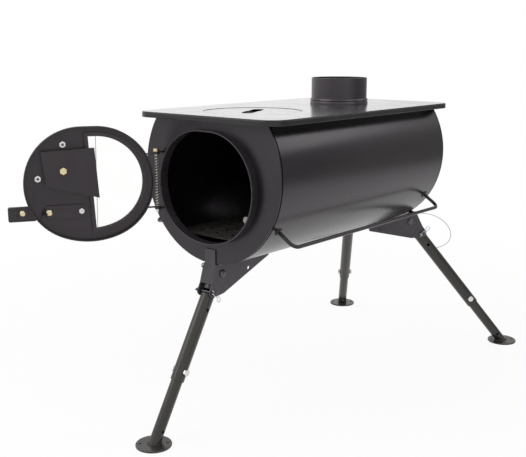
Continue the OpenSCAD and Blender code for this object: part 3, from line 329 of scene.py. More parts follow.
def rim_outline(grow, rise=0.0):
    """Rounded D in (x, z) about the rim's middle: a flat top, two corner arcs and a round belly,
    as the rim and the door are cut."""
    big, top, corner = (v + grow for v in RIM)
    dx = math.sqrt((big - corner) ** 2 - (top - corner) ** 2)
    lean = math.asin((top - corner) / (big - corner))

    def arc(cx, cz, r, a0, a1, n):
        a = np.linspace(a0, a1, n)
        return np.stack([cx + r * np.cos(a), cz + r * np.sin(a)], -1)

    quarter = math.pi / 2
    right = arc(dx, top - corner, corner, lean, quarter, 90)
    left = arc(-dx, top - corner, corner, quarter, math.pi - lean, 90)
    belly = arc(0, 0, big, math.pi - lean, 2 * math.pi + lean, 140)[1:-1]
    return np.vstack([right, left, belly]) + [0, RIM_Z + rise]


# ---------- meshes ----------


def add_piece(name, shape, body, finish, replaces=None, sharp=35.0):
    """Puts vertices in millimetres and faces into one mesh object that rides on a body."""
    verts, faces = shape
    mesh = bpy.data.meshes.new(name)
    mesh.from_pydata((verts * MM).tolist(), [], faces)
    mesh.validate()
    mesh.shade_smooth()
    if sharp:
        mesh.set_sharp_from_angle(angle=math.radians(sharp))
    mesh.materials.append(bpy.data.materials[finish])
    piece = bpy.data.objects.new(name, mesh)
    bpy.context.scene.collection.objects.link(piece)
    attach(piece, body)
    if replaces:
        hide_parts(replaces)
    return piece


# ---------- finishes ----------


class Tree:
    """The emptied node tree of a material or a world, with short forms for its nodes."""

    def __init__(self, owner):
        owner.use_nodes = True
        self.tree = owner.node_tree
        self.tree.nodes.clear()

    def feed(self, node, key, value):
        """Gives an input another node's output, or a plain value."""
        if isinstance(value, bpy.types.NodeSocket):
            self.tree.links.new(value, node.inputs[key])
        else:
            node.inputs[key].default_value = value

    def add(self, kind, feeds=(), **settings):
        """A node with its settings, and with its inputs fed."""
        node = self.tree.nodes.new(kind)
        for key, value in settings.items():
            setattr(node, key, value)
        for key, value in dict(feeds).items():
            self.feed(node, key, value)
        return node

    def between(self, value, low, high, out_low, out_high, **settings):
        """value carried from one range to another, and held at its ends."""
        feeds = {"Value": value, "From Min": low, "From Max": high, "To Min": out_low, "To Max": out_high}
        return self.add("ShaderNodeMapRange", feeds, **settings).outputs[0]


class Recipe(Tree):
    """A material's nodes, built one at a time on Object coordinates."""

    def __init__(self, name):
        super().__init__(bpy.data.materials.new(name))
        self.shader = self.add("ShaderNodeBsdfPrincipled")
        self.add("ShaderNodeOutputMaterial", {"Surface": self.shader.outputs[0]})
        self.coords = self.add("ShaderNodeTexCoord").outputs["Object"]
        self.normal = None

    def noise(self, scale, detail=3.0, rough=0.55, stretch=None):
        """Noise on Object coordinates, each axis scaled by its own factor where stretch is given."""
        vector = self.coords
        if stretch:
            vector = self.add("ShaderNodeMapping", {"Vector": vector, "Scale": stretch}).outputs[0]
        feeds = {"Vector": vector, "Scale": scale, "Detail": detail, "Roughness": rough}
        return self.add("ShaderNodeTexNoise", feeds).outputs["Fac"]

    def blend(self, value, low, high):
        """Colour low where value is 0 and high where it is 1. low may be a node's colour."""
        low = low if isinstance(low, bpy.types.NodeSocket) else (*low, 1)
        feeds = {"Factor": value, "A": low, "B": (*high, 1)}
        return self.add("ShaderNodeMix", feeds, data_type="RGBA").outputs["Result"]

    def tones(self, value, low, high, dark, pale, most=1.0):
        """Base colour: dark up to low, and from high on pale, or most of the way to it."""
        colour = self.blend(self.between(value, low, high, 0, most), dark, pale)
        self.set(Base_Color=colour)

    def rough(self, value, low, high, least, largest):
        """Roughness: least up to low, and largest from high on."""
        self.set(Roughness=self.between(value, low, high, least, largest))

    def set(self, **values):
        for key, value in values.items():
            self.feed(self.shader, key.replace("_", " "), value)

    def soft_edges(self, radius):
        """Edges catch the light as if rounded by radius millimetres."""
        self.normal = self.add("ShaderNodeBevel", {"Radius": radius * MM}, samples=4).outputs[0]
        self.set(Normal=self.normal)

    def bump(self, height, depth):
        """Height field whose full swing is depth millimetres."""
        feeds = {"Strength": 1.0, "Distance": depth * MM, "Height": height}
        if self.normal:
            feeds["Normal"] = self.normal
        self.set(Normal=self.add("ShaderNodeBump", feeds).outputs[0])


def painted_steel(
    name, colour, dusty, rough, grain=(1, 1, 1), ior=1.48, edge=0.5, sheen=(1, 0.9, 0.985, 1)
):
    """Heat-proof satin black on sheet steel: faint clouds, dust, orange peel and worn sheen."""
    r = Recipe(name)
    clouds = r.noise(14, 4, 0.6, grain)
    base = r.blend(r.between(clouds, 0.35, 0.7, 0, 1), colour, dusty)
    r.tones(r.noise(420, 2, 0.5), 0.66, 0.8, base, [c * 3.5 for c in dusty], 0.22)
    r.rough(clouds, 0.3, 0.7, rough - 0.03, rough + 0.05)
    r.set(IOR=ior, Specular_Tint=sheen)
    r.soft_edges(edge)
    r.bump(r.noise(900, 2, 0.5), 0.01)


def bare_steel(name, colour, streaks, rough, stretch, edge=0.4):
    """Rolled or plated steel with fine streaks in one direction."""
    r = Recipe(name)
    lines = r.noise(60, 3, 0.6, stretch)
    r.tones(lines, 0.3, 0.7, colour, streaks)
    r.rough(lines, 0.3, 0.7, rough - 0.06, rough + 0.1)
    r.set(Metallic=1.0)
    r.soft_edges(edge)
    r.bump(r.noise(1400, 2, 0.5, stretch), 0.008)


def make_finishes(s):
    """Every finish of the stove, by the name its pieces ask for."""
    black, dusty, sheet = list(s.black), list(s.black_dusty), s.sheet_rough
    painted_steel("drum_paint", s.drum, s.drum_dusty, s.drum_rough, (1, 0.25, 1), ior=1.53, edge=0.6)
    painted_steel("end_plate_paint", black, dusty, sheet)
    # The rim paint takes the black sheet's tones doubled. This paler colour is painted light, standing in
    # for light in the rim's shaded inside; the hinge lugs and air wheel share it.
    painted_steel("rim_paint_with_painted_light", [c * 2 for c in black], [c * 2 for c in dusty], sheet - 0.04)
    painted_steel("door_paint", s.door, s.door_dusty, sheet + 0.04)
    painted_steel("bracket_paint", s.bracket, s.bracket_dusty, sheet - 0.02)
    painted_steel("leg_paint", s.leg, s.leg_dusty, 0.24, (1, 1, 0.15), sheen=(1, 0.96, 0.91, 1))
    painted_steel("rail_paint", black, dusty, 0.3, (1, 0.2, 1))
    painted_steel("collar_paint", black, dusty, 0.3, (1.6, 1.6, 0.06), ior=1.62)

    # A glossy coat on the faces that look up, and none on the lip
    r = Recipe("plate_gloss")
    r.tones(r.noise(9, 4, 0.6), 0.35, 0.68, s.plate, s.plate_dusty)
    r.rough(r.noise(26, 5, 0.65), 0.35, 0.7, s.plate_rough - 0.04, s.plate_rough + 0.06)
    facing = r.add("ShaderNodeSeparateXYZ", {0: r.add("ShaderNodeNewGeometry").outputs["True Normal"]})
    coat = r.between(facing.outputs["Z"], 0.6, 0.95, 0, 1)
    r.set(IOR=1.42, Coat_Weight=coat, Coat_Roughness=0.19, Coat_IOR=1.75)
    r.soft_edges(2.2)
    r.bump(r.noise(500, 2, 0.5), 0.01)

    # Dark rough iron for the grate and lid seat. On the hot plate's bar the same darkness is painted shade
    # for the shaded recess under the slot.
    r = Recipe("cast_iron_and_painted_shade")
    r.tones(r.noise(160, 4), 0.4, 0.7, (0.02, 0.019, 0.018), (0.06, 0.052, 0.046))
    r.rough(r.noise(60, 3), 0.3, 0.7, 0.55, 0.75)
    r.soft_edges(0.6)
    r.bump(r.noise(700, 3, 0.6), 0.12)

    bare_steel("brass_finish", s.brass, s.brass_worn, 0.26, (40, 40, 4), 0.3)
    bare_steel("zinc_finish", s.zinc, s.zinc_worn, 0.3, (30, 30, 5), 0.3)
    bare_steel("bright_wire", (0.72, 0.73, 0.75), (0.55, 0.56, 0.58), 0.22, (10, 10, 10), 0.0)
    bare_steel("rope_wire", s.rope, s.rope_dark, 0.34, (20, 20, 20), 0.0)
    bare_steel("spring_wire", s.spring, s.spring_dark, 0.3, (20, 20, 6), 0.0)
    bare_steel("dark_bolt", (0.07, 0.07, 0.075), (0.12, 0.12, 0.125), 0.32, (20, 20, 6))
    bare_steel("rubbed_steel", (0.36, 0.355, 0.35), (0.18, 0.17, 0.17), 0.3, (20, 4, 20))

    r = Recipe("weld_finish")
    r.tones(r.noise(380, 4), 0.35, 0.65, s.weld, s.weld_bright)
    r.rough(r.noise(200, 3), 0.3, 0.7, 0.3, 0.5)
    r.set(Metallic=0.75)
    r.bump(r.noise(1500, 3, 0.6), 0.05)

    r = Recipe("painted_weld")
    r.tones(r.noise(380, 4), 0.35, 0.65, black, [c * 2.2 for c in dusty])
    r.rough(r.noise(200, 3), 0.3, 0.7, 0.34, 0.5)
    r.bump(r.noise(1500, 3, 0.6), 0.05)

    r = Recipe("grip_moulding")
    r.tones(r.noise(300, 3), 0.4, 0.65, (0.012, 0.012, 0.013), (0.022, 0.021, 0.022))
    r.rough(r.noise(90, 3), 0.3, 0.7, 0.42, 0.56)
    r.set(Specular_IOR_Level=0.45)
    r.soft_edges(0.9)
    r.bump(r.noise(1200, 2), 0.03)

    r = Recipe("fibre_seal")
    r.tones(r.noise(600, 3), 0.35, 0.65, (0.42, 0.38, 0.3), (0.62, 0.58, 0.5))
    r.rough(r.noise(200, 3), 0.3, 0.7, 0.75, 0.9)
    r.bump(r.noise(1600, 3), 0.1)

    r = Recipe("ceramic_glass")
    r.tones(r.noise(30, 4), 0.4, 0.8, (1, 1, 1), (0.975, 0.972, 0.96))
    r.set(Roughness=0.02, IOR=1.5, Transmission_Weight=1.0)


CAD_FINISHES = {
    "drum_paint": ["body_shell"],
    "end_plate_paint": ["front_plate", "rear_plate"],
    "rim_paint_with_painted_light": ["door_rim", "hinge_lugs", "air_wheel"],
    "collar_paint": ["flue_collar"],
    "door_paint": ["door_panel", "door_lugs", "window_frame", "air_baffle", "latch_strip", "latch_lever"],
    "bracket_paint": ["bracket_front", "bracket_right", "bracket_left"],
    "leg_paint": [f"{part}_{leg}" for part in ("leg_tube", "inner_tube", "foot_disc") for leg in LEGS],
    "rail_paint": ["rail_right", "rail_left"],
    "plate_gloss": ["cooking_plate", "hot_plate"],
    "cast_iron_and_painted_shade": ["fire_grate", "lid_seat"],
    "rubbed_steel": ["door_catch"],
    "dark_bolt": [f"lock_pin_{leg}" for leg in LEGS],
    "bright_wire": [f"pin_clip_{leg}" for leg in LEGS],
    "grip_moulding": ["handle_grip"],
    "ceramic_glass": ["window_glass"],
}


# ---------- sizes and colours ----------


def tint(name, description, value):
    return bpy.props.FloatVectorProperty(
        name=name, description=description, subtype="COLOR", size=3, min=0, max=1, default=value
    )


def number(name, description, value, low, high, **kind):
    return bpy.props.FloatProperty(
        name=name, description=description, default=value, min=low, max=high, **kind
    )


def metres(name, description, value, low, high):
    return number(name, description, value, low, high, unit="LENGTH")


def share(name, description, value, low=0.0, high=1.0):
    return number(name, description, value, low, high, subtype="FACTOR")


class StoveFinishes(bpy.types.PropertyGroup):
    drum: tint("Drum", "Darkest tone of the drum's paint", (0.0068, 0.0062, 0.0066))
    drum_dusty: tint("Drum dust", "Palest tone of the drum's paint", (0.0115, 0.0105, 0.011))
    black: tint("Black sheet", "Darkest tone of the end plates, rim and rails", (0.0085, 0.0075, 0.0085))
    black_dusty: tint(
        "Black sheet dust", "Palest tone of the end plates, rim and rails", (0.0155, 0.0138, 0.0155)
    )
    door: tint("Door", "Darkest tone of the door", (0.014, 0.0122, 0.013))
    door_dusty: tint("Door dust", "Palest tone of the door", (0.024, 0.021, 0.0222))
    plate: tint("Cooking plate", "Darkest tone of the cooking plate", (0.008, 0.0078, 0.0082))
    plate_dusty: tint("Cooking plate dust", "Palest tone of the cooking plate", (0.018, 0.0178, 0.0185))
    bracket: tint("Bracket", "Darkest tone of the leg brackets", (0.03, 0.028, 0.032))
    bracket_dusty: tint("Bracket dust", "Palest tone of the leg brackets", (0.05, 0.047, 0.052))
    leg: tint("Leg", "Darkest tone of the leg tubes", (0.017, 0.0165, 0.015))
    leg_dusty: tint("Leg dust", "Palest tone of the leg tubes", (0.032, 0.0305, 0.0275))
    brass: tint("Brass", "Plated bolt heads", (0.86, 0.76, 0.5))
    brass_worn: tint("Worn brass", "Darker patches of the plated bolt heads", (0.5, 0.42, 0.26))
    zinc: tint("Zinc", "Nuts and screws", (0.86, 0.86, 0.84))
    zinc_worn: tint("Worn zinc", "Darker patches of the nuts", (0.46, 0.46, 0.45))
    rope: tint("Wire rope", "Bright strands of the wire lanyards", (0.42, 0.42, 0.44))
    rope_dark: tint("Wire rope shade", "Dull strands of the wire lanyards", (0.24, 0.24, 0.25))
    spring: tint("Spring", "Bright part of the hinge spring's wire", (0.88, 0.85, 0.78))
    spring_dark: tint("Spring shade", "Dull part of the hinge spring's wire", (0.62, 0.58, 0.5))
    weld: tint("Weld", "Dull part of a bare weld", (0.2, 0.19, 0.17))
    weld_bright: tint("Bright weld", "Bright part of a bare weld", (0.55, 0.53, 0.48))
    drum_rough: share("Drum roughness", "How dull the drum's paint is", 0.26, 0.1, 0.9)
    sheet_rough: share("Sheet roughness", "How dull the other black sheet is", 0.3, 0.1, 0.9)
    plate_rough: share("Plate roughness", "How dull the cooking plate is", 0.18, 0.1, 0.9)


class StoveWire(bpy.types.PropertyGroup):
    rope_d: metres("Lanyard diameter", "Wire rope of the lock pins' lanyards", 0.0012, 0.0008, 0.002)
    rope_lay: metres("Rope lay", "Length of one twist of the wire rope", 0.006, 0.003, 0.012)
    spring_d: metres("Spring wire", "Wire of the hinge spring", 0.0011, 0.0006, 0.0011)
    spring_mean: metres(
        "Spring radius", "Middle radius of the hinge spring's curls", 0.0028, 0.0027, 0.0029
    )
    spring_turns: bpy.props.IntProperty(
        name="Spring turns", description="Curls of the hinge spring", default=20, min=12, max=30
    )


class StoveHotPlate(bpy.types.PropertyGroup):
    sheet: metres("Sheet", "Thickness of the lift-out plate", 0.0016, 0.0012, 0.0026)
    slot: metres("Slot length", "Length of the lifter's slot", 0.09, 0.04, 0.1)
    width: metres("Slot width", "Width of the lifter's slot", 0.02, 0.008, 0.024)
    lean: number(
        "Slot lean", "How far the slot is turned from the stove's length",
        math.radians(29), -math.pi, math.pi, subtype="ANGLE",
    )


class StoveWelds(bpy.types.PropertyGroup):
    bead_r: metres("Bead radius", "Half the width of a weld bead", 0.0015, 0.0008, 0.003)
    ripple: share("Ripple", "How far the scales of a bead stand out", 0.14, 0, 0.4)
    pitch: metres("Ripple pitch", "Distance between two scales of a bead", 0.0024, 0.001, 0.006)


class StoveStage(bpy.types.PropertyGroup):
    lens: number("Lens", "Focal length of the camera", 57.55, 20, 200, subtype="DISTANCE_CAMERA")
    key: number("Key light", "Large soft light above the door end", 26.0, 0, 400, unit="POWER")
    fill: number("Fill light", "Soft light from the right", 9.0, 0, 400, unit="POWER")
    rim: number(
        "Rim light", "Small light behind that glints on the drum's shoulder", 1.9, 0, 400, unit="POWER"
    )
    near: share("Floor white", "How white the floor shows close to the stove", 0.9)
    sky: number("Surroundings", "Strength of the light from all round", 0.72, 0, 2)


# ---------- operators ----------


class STOVE_OT_camera(bpy.types.Operator):
    """Stands the camera at the photograph's place"""

    bl_idname = "stove.camera"
    bl_label = "Camera"

    def execute(self, context):
        lens = bpy.data.cameras.new("stove_camera")
        lens.lens = context.scene.stove_stage.lens
        lens.sensor_width = 36
        lens.clip_end = 50
        camera = bpy.data.objects.new("stove_camera", lens)
        camera.location = (0.8984, -0.7976, 0.5987)
        camera.rotation_euler = (math.radians(77.72), 0, math.radians(40.39))
        context.scene.collection.objects.link(camera)
        context.scene.camera = camera
        return {"FINISHED"}


# The lanyards' ways from the bracket's eye to the pin's tail, each in its bracket's frame
TUCKED = [
    (10.5, 21.5, 7.3), (9, 23, 9.5), (4, 25, 11), (-3, 26, 9.5), (-10, 26, 4), (-15, 26, -4),
    (-17, 26, -13), (-14, 26, -22), (-8, 26, -29), (1, 26, -33), (9, 25, -33), (14, 22, -30.5),
    (16.5, 20.5, -28.5), (18, 20.5, -28),
]
LOOSE = [
    (10.5, 21.5, 7.3), (16, 23, 9), (26, 25, 7.5), (40, 26, 1), (55, 26, -4), (70, 26, -12.5),
    (83, 26, -24), (91, 26, -36), (95, 26, -47), (95, 26, -57), (91, 26, -66), (83, 26, -72),
    (73, 26, -75), (62, 26, -75.5), (50, 26, -73), (39, 26, -67), (30, 26, -58), (23, 25.5, -47),
    (19, 24, -38), (16.5, 21.5, -31.5), (17, 20.5, -28.5), (18, 20.5, -28),
]


class STOVE_OT_lanyards(bpy.types.Operator):
    """Lays the wire rope that ties each lock pin to its bracket, with its two crimped loops"""

    bl_idname = "stove.lanyards"
    bl_label = "Lanyards"

    def execute(self, context):
        wire = context.scene.stove_wire
        radius, lay = wire.rope_d / MM / 2, wire.rope_lay / MM
        for leg, route in (("front", TUCKED), ("right", LOOSE), ("left", TUCKED)):
            place = bracket_place(leg)
            side = -LEGS[leg]["head"]
            across = place.axes[:, 1]
            path = place.at(smooth_curve(np.array(route) * [1, side, 1], 14))
            shape = rope(path, radius, across, lay)
            cord = add_piece(f"lanyard_{leg}_rope", shape, "stove", "rope_wire", f"lanyard_{leg}", sharp=0)
            sleeves = joined(self.sleeve(path[2:26], across), self.sleeve(path[-32:-3], across))
            crimps = add_piece(f"lanyard_{leg}_crimps", sleeves, "stove", "zinc_finish")
            shape = self.loops(place, side)
            loops = add_piece(f"lanyard_{leg}_loops", shape, "stove", "rope_wire", sharp=0)
        return {"FINISHED"}

    @staticmethod
    def sleeve(path, across):
        """Crimped sleeve: a tube of radius 1.15 along the rope with two pressed waists, each
        0.18 * exp(-(distance from its middle / 0.07)^2) deep, and drawn in at its ends."""
        s = np.linspace(0, 1, len(path))
        first, second = (0.18 * np.exp(-(((s - middle) / 0.07) ** 2)) for middle in (0.35, 0.65))
        r = (1.15 - first - second) * np.clip(0.72 + 3.5 * np.minimum(s, 1 - s), 0, 1)
        return swept(path, r, across, 24)

    @staticmethod
    def loops(place, side):
        """Two closed loops: one round the eye on the bracket, one through the tail of the pin."""
        eye = [
            (10.5, 21.35, 7.3), (9.3, 20.9, 7.3), (9.0, 19.6, 7.3), (9.4, 18.4, 7.3),
            (10.5, 18.05, 7.3), (11.6, 18.4, 7.3), (12.0, 19.6, 7.3), (11.7, 20.9, 7.3),
        ]
        pin = [
            (17.9, 20.75, -28), (19.3, 20.5, -28), (21.5, 20.5, -28), (23.9, 20.5, -28),
            (25.3, 21.3, -28), (25.2, 22.8, -28), (23.6, 23.75, -28), (21.3, 23.95, -28),
            (19.0, 23.4, -28), (17.6, 22.0, -28),
        ]
        made = []
        for points in (eye, pin):
            path = place.at(smooth_curve(np.array(points) * [1, side, 1], 10, closed=True))
            made.append(swept(path, 0.45, place.axes[:, 2], 14, loop=True))
        return joined(*made)


class STOVE_OT_spring(bpy.types.Operator):
    """Winds the coil spring between the two halves of the hinge"""

    bl_idname = "stove.spring"
    bl_label = "Hinge spring"

    def execute(self, context):
        wire = context.scene.stove_wire
        path = HINGE.at(self.coil(wire.spring_mean / MM, wire.spring_d / MM / 2, wire.spring_turns))
        shape = swept(path, wire.spring_d / MM / 2, (0, 0, 1), 12)
        add_piece("hinge_spring_coil", shape, "stove", "spring_wire", "hinge_spring", sharp=0)
        return {"FINISHED"}

    @staticmethod
    def coil(mean, radius, turns, half=42.7):
        """A helix of one mean radius between -half and half. Its height is the running sum of a
        rise that grows from one wire at each end to its full width over the first curl."""
        f = np.linspace(0, 1, turns * 28 + 1)
        rise = np.clip(np.minimum(f, 1 - f) * turns - 0.6, 0, 0.8) / 0.8
        rise = 2 * radius + (half * 2 / turns - radius) * 1.1 * rise
        height = np.concatenate([[0], np.cumsum((rise[1:] + rise[:-1]) / 2)])
        height = -half + radius + (2 * half - 2 * radius) * height / height[-1]
        return around(mean, 2 * math.pi * turns * f, height)


class STOVE_OT_fasteners(bpy.types.Operator):
    """Makes the bolts, nuts, washers and screws with their threads, domes and chamfers"""

    bl_idname = "stove.fasteners"
    bl_label = "Bolts and nuts"

    def execute(self, context):
        self.door_bolts()
        self.hinge_bolts()
        self.leg_bolts()
        return {"FINISHED"}

    @staticmethod
    def door_bolts():
        """Each spot has two frames whose heights are measured inwards and outwards."""

        def on(x, z):
            return door_spot(x, z, ALONG_Y), door_spot(x, z, AGAINST_Y)

        inwards, outwards = on(*AIR_BOLT)
        shape = joined(
            lathe(inwards, [(3, WHEEL_FACE - 0.4), (3, BAFFLE_FACE)], 32),
            hexagon(inwards, BAFFLE_FACE, BAFFLE_FACE + 4, 10),
            hexagon(outwards, -WHEEL_FACE + 0.5, -WHEEL_FACE + 3.7, 10),
            thread(outwards, -WHEEL_FACE + 3.0, -WHEEL_FACE + 5.2, 3),
        )
        add_piece("air_bolt_brass", shape, "door", "brass_finish", "air_bolt")

        parts, threads = [], []
        for degrees in STOP_ANGLES:
            a = math.radians(degrees)
            inwards, outwards = on(AIR_BOLT[0] + STOP_R * math.cos(a), AIR_BOLT[1] + STOP_R * math.sin(a))
            threads.append(thread(inwards, DOOR_OUT, DOOR_IN + 4.7, 2.2))
            parts += [
                hexagon(inwards, DOOR_IN, DOOR_IN + 3.2, 9.2),
                disc(outwards, -DOOR_OUT, 7.0, 3.2),
                disc(outwards, 7.0, 8.0, 7),
                hexagon(outwards, 8.0, 10.8, 7),
            ]
        add_piece("edge_bolts_zinc", joined(*parts), "door", "zinc_finish", "edge_bolts")
        add_piece("edge_bolts_threads", joined(*threads), "door", "dark_bolt")

        inwards, outwards = on(*LATCH_BOLT)
        shape = joined(
            dome(inwards, STRIP_FACE, 5, 3),
            lathe(inwards, [(3, LEVER_FACE), (3, STRIP_FACE + 0.1)], 32),
            disc(outwards, -DOOR_OUT, -LEVER_BACK - 0.3, 5),
            hexagon(outwards, -LEVER_FACE + 0.5, -LEVER_FACE + 3.7, 10),
            thread(outwards, -LEVER_FACE, -LEVER_FACE + 4.7, 3),
        )
        add_piece("latch_bolt_brass", shape, "door", "brass_finish", "latch_bolt")

        inwards, outwards = on(*STRIP_BOLT)
        shape = joined(
            thread(inwards, DOOR_OUT, STRIP_FACE + 4.4, 2),
            hexagon(inwards, STRIP_FACE, STRIP_FACE + 3.2, 8),
            dome(outwards, -DOOR_OUT, 4, 2.2),
        )
        add_piece("strip_bolt_zinc", shape, "door", "zinc_finish", "strip_bolt")

        inwards, outwards = on(LATCH_BOLT[0] + GRIP_REACH, LATCH_BOLT[1])
        shape = joined(
            dome(inwards, LEVER_BACK, 4.5, 2.4),
            lathe(inwards, [(2.5, LEVER_FACE - 8), (2.5, LEVER_BACK + 0.1)], 32),
            hexagon(outwards, -LEVER_FACE + 8, -LEVER_FACE + 11.2, 8),
        )
        add_piece("handle_bolt_brass", shape, "latch_lever", "brass_finish", "handle_bolt")

    @staticmethod
    def hinge_bolts():
        down = Place(HINGE.origin, np.diag([1, -1, -1]))
        shape = joined(
            disc(HINGE, HINGE_END, HINGE_END + 0.8, 5),
            hexagon(HINGE, HINGE_END + 0.8, HINGE_END + 4.8, 8.22),
            thread(down, HINGE_END - 0.5, HINGE_END + 5.5, 2, 0.7, 0.25),
        )
        add_piece("hinge_bolt_brass", shape, "stove", "brass_finish", "hinge_bolt")
        shank = lathe(HINGE, [(1.95, 0.1 - HINGE_END), (1.95, 0.1 + HINGE_END)], 32)
        add_piece("hinge_bolt_shank", shank, "stove", "dark_bolt")
        nut = hexagon(down, HINGE_END, HINGE_END + 4, 7.79)
        add_piece("hinge_nut_zinc", nut, "stove", "zinc_finish", "hinge_nut")

    @staticmethod
    def leg_bolts():
        for leg, g in LEGS.items():
            bracket, tube = bracket_place(leg), leg_place(leg)
            ways = (ALONG_Y, AGAINST_Y)
            head, tail = (bracket.inner((0, 0, 0), axes) for axes in ways[:: g["head"]])
            shape = joined(
                lathe(head, [(4, -CHEEK - 0.2), (4, CHEEK + 0.2)], 40),
                dome(head, CHEEK, 6.5, 3.6),
                hexagon(tail, CHEEK, CHEEK + 4.5, 12),
                thread(tail, CHEEK - 0.2, CHEEK + 6, 4, 1.0, 0.35),
            )
            add_piece(f"pivot_bolt_{leg}_black", shape, "stove", "dark_bolt", f"pivot_bolt_{leg}")
            screws = []
            for axes in ways:
                at = tube.inner((0, 0, -g["outer"] + 16), axes)
                screws += [lathe(at, [(2.5, 9.4), (2.5, 12.0)], 28), hexagon(at, 11.2, 15.0, 10)]
            name = f"clamp_screws_{leg}"
            add_piece(f"{name}_zinc", joined(*screws), f"leg_{leg}", "zinc_finish", name)


class STOVE_OT_hot_plate(bpy.types.Operator):
    """Cuts the lift-out hot plate with its long lifter slot and the iron bar that crosses below"""

    bl_idname = "stove.hot_plate"
    bl_label = "Hot plate"

    def execute(self, context):
        p = context.scene.stove_hot_plate
        place = Place(LID, turn("z", math.degrees(p.lean)))
        top, half, wide = p.sheet / MM, p.slot / MM / 2, p.width / MM / 2
        shape = self.sheet(place, top, half, wide)
        add_piece("hot_plate_sheet", shape, "hot_plate", "plate_gloss", "hot_plate")
        # The bar's dark iron finish stands in for the shade in the recess under the slot: painted shade.
        add_piece("hot_plate_bar", self.bar(place, wide + 5), "hot_plate", "cast_iron_and_painted_shade")
        return {"FINISHED"}

    @staticmethod
    def sheet(place, top, half, wide):
        """The disc between the plate's own circle and a slot: at each angle the slot's outline is
        the superellipse of power 5 in the two half sizes, stepped sideways by 1.5 tanh(y / 4),
        and the rings between go evenly from one outline to the other."""
        a = angles(240)
        a = a - 0.36 * np.sin(2 * a)
        c, s = np.cos(a), np.sin(a)
        slot = np.stack([c, s], -1) / ((np.abs(c) / wide) ** 5 + (np.abs(s) / half) ** 5)[:, None] ** 0.2
        slot[:, 0] += 1.5 * np.tanh(slot[:, 1] / 4)
        edge = LID_R * np.stack([c, s], -1)

        def ring(part, height, shrink=0.0):
            flat = slot + part * (edge - slot)
            flat = flat - shrink * unit(flat)
            return np.column_stack([flat, np.full(len(a), float(height))])

        parts = np.linspace(0, 1, 9)
        under = [ring(part, 0) for part in parts]
        wall = [ring(1, top - 0.5), ring(1, top - 0.15, 0.15)]
        over = [ring(part, top, 0.5 if part == 1 else 0) for part in parts[::-1]]
        return skin(place.at(np.array(under + wall + over)), ends=False, loop=True)

    @staticmethod
    def bar(place, reach):
        """A flat bar 9 wide and 2 thick, whose section is a superellipse of power 6, laid across
        the slot under the sheet. Over the last 2 of each end it shrinks by a quarter."""
        x = np.linspace(-reach, reach, 40)[:, None]
        a = angles(40)
        c, s = np.cos(a), np.sin(a)
        size = (np.abs(c) ** 6 + np.abs(s) ** 6) ** (-1 / 6)
        end = 1 - 0.25 * np.clip((np.abs(x) - reach + 2) / 2, 0, 1) ** 2
        grid = np.stack(np.broadcast_arrays(x, 4.5 * end * size * c, -1.0 + end * size * s), -1)
        return skin(place.at(grid))


class STOVE_OT_window_seal(bpy.types.Operator):
    """Lays the pale woven seal between the window's glass and its frame"""

    bl_idname = "stove.window_seal"
    bl_label = "Window seal"

    def execute(self, context):
        path = resampled(self.outline(), 1.0, closed=True)
        local = np.stack([path[:, 0] + DOOR_MIDDLE[0], np.full(len(path), 0.95), path[:, 1]], -1)
        shape = swept(DOOR.at(local), 0.55, DOOR.axes[:, 1], 10, loop=True)
        add_piece("window_seal", shape, "door", "fibre_seal", sharp=0)
        return {"FINISHED"}

    @staticmethod
    def outline():
        """The door's outline, 3.2 outside the rim's, drawn in by 17.4. It is cut off, 0.8 short
        of the window's straight edge, along the line from x = 1.2 at the door's top to x = -9
        at its foot."""
        whole = rim_outline(3.2 - 17.4, 2.5)
        x, z = whole[:, 0], whole[:, 1] - DOOR_MIDDLE[1]
        top, low, half = 1.2 - 0.8, -9 - 0.8, 92.05
        keep = x <= top + (low - top) * (half - z) / (2 * half)
        start = int(np.argmax(keep & ~np.roll(keep, 1)))
        return np.roll(whole, -start, 0)[np.roll(keep, -start)]


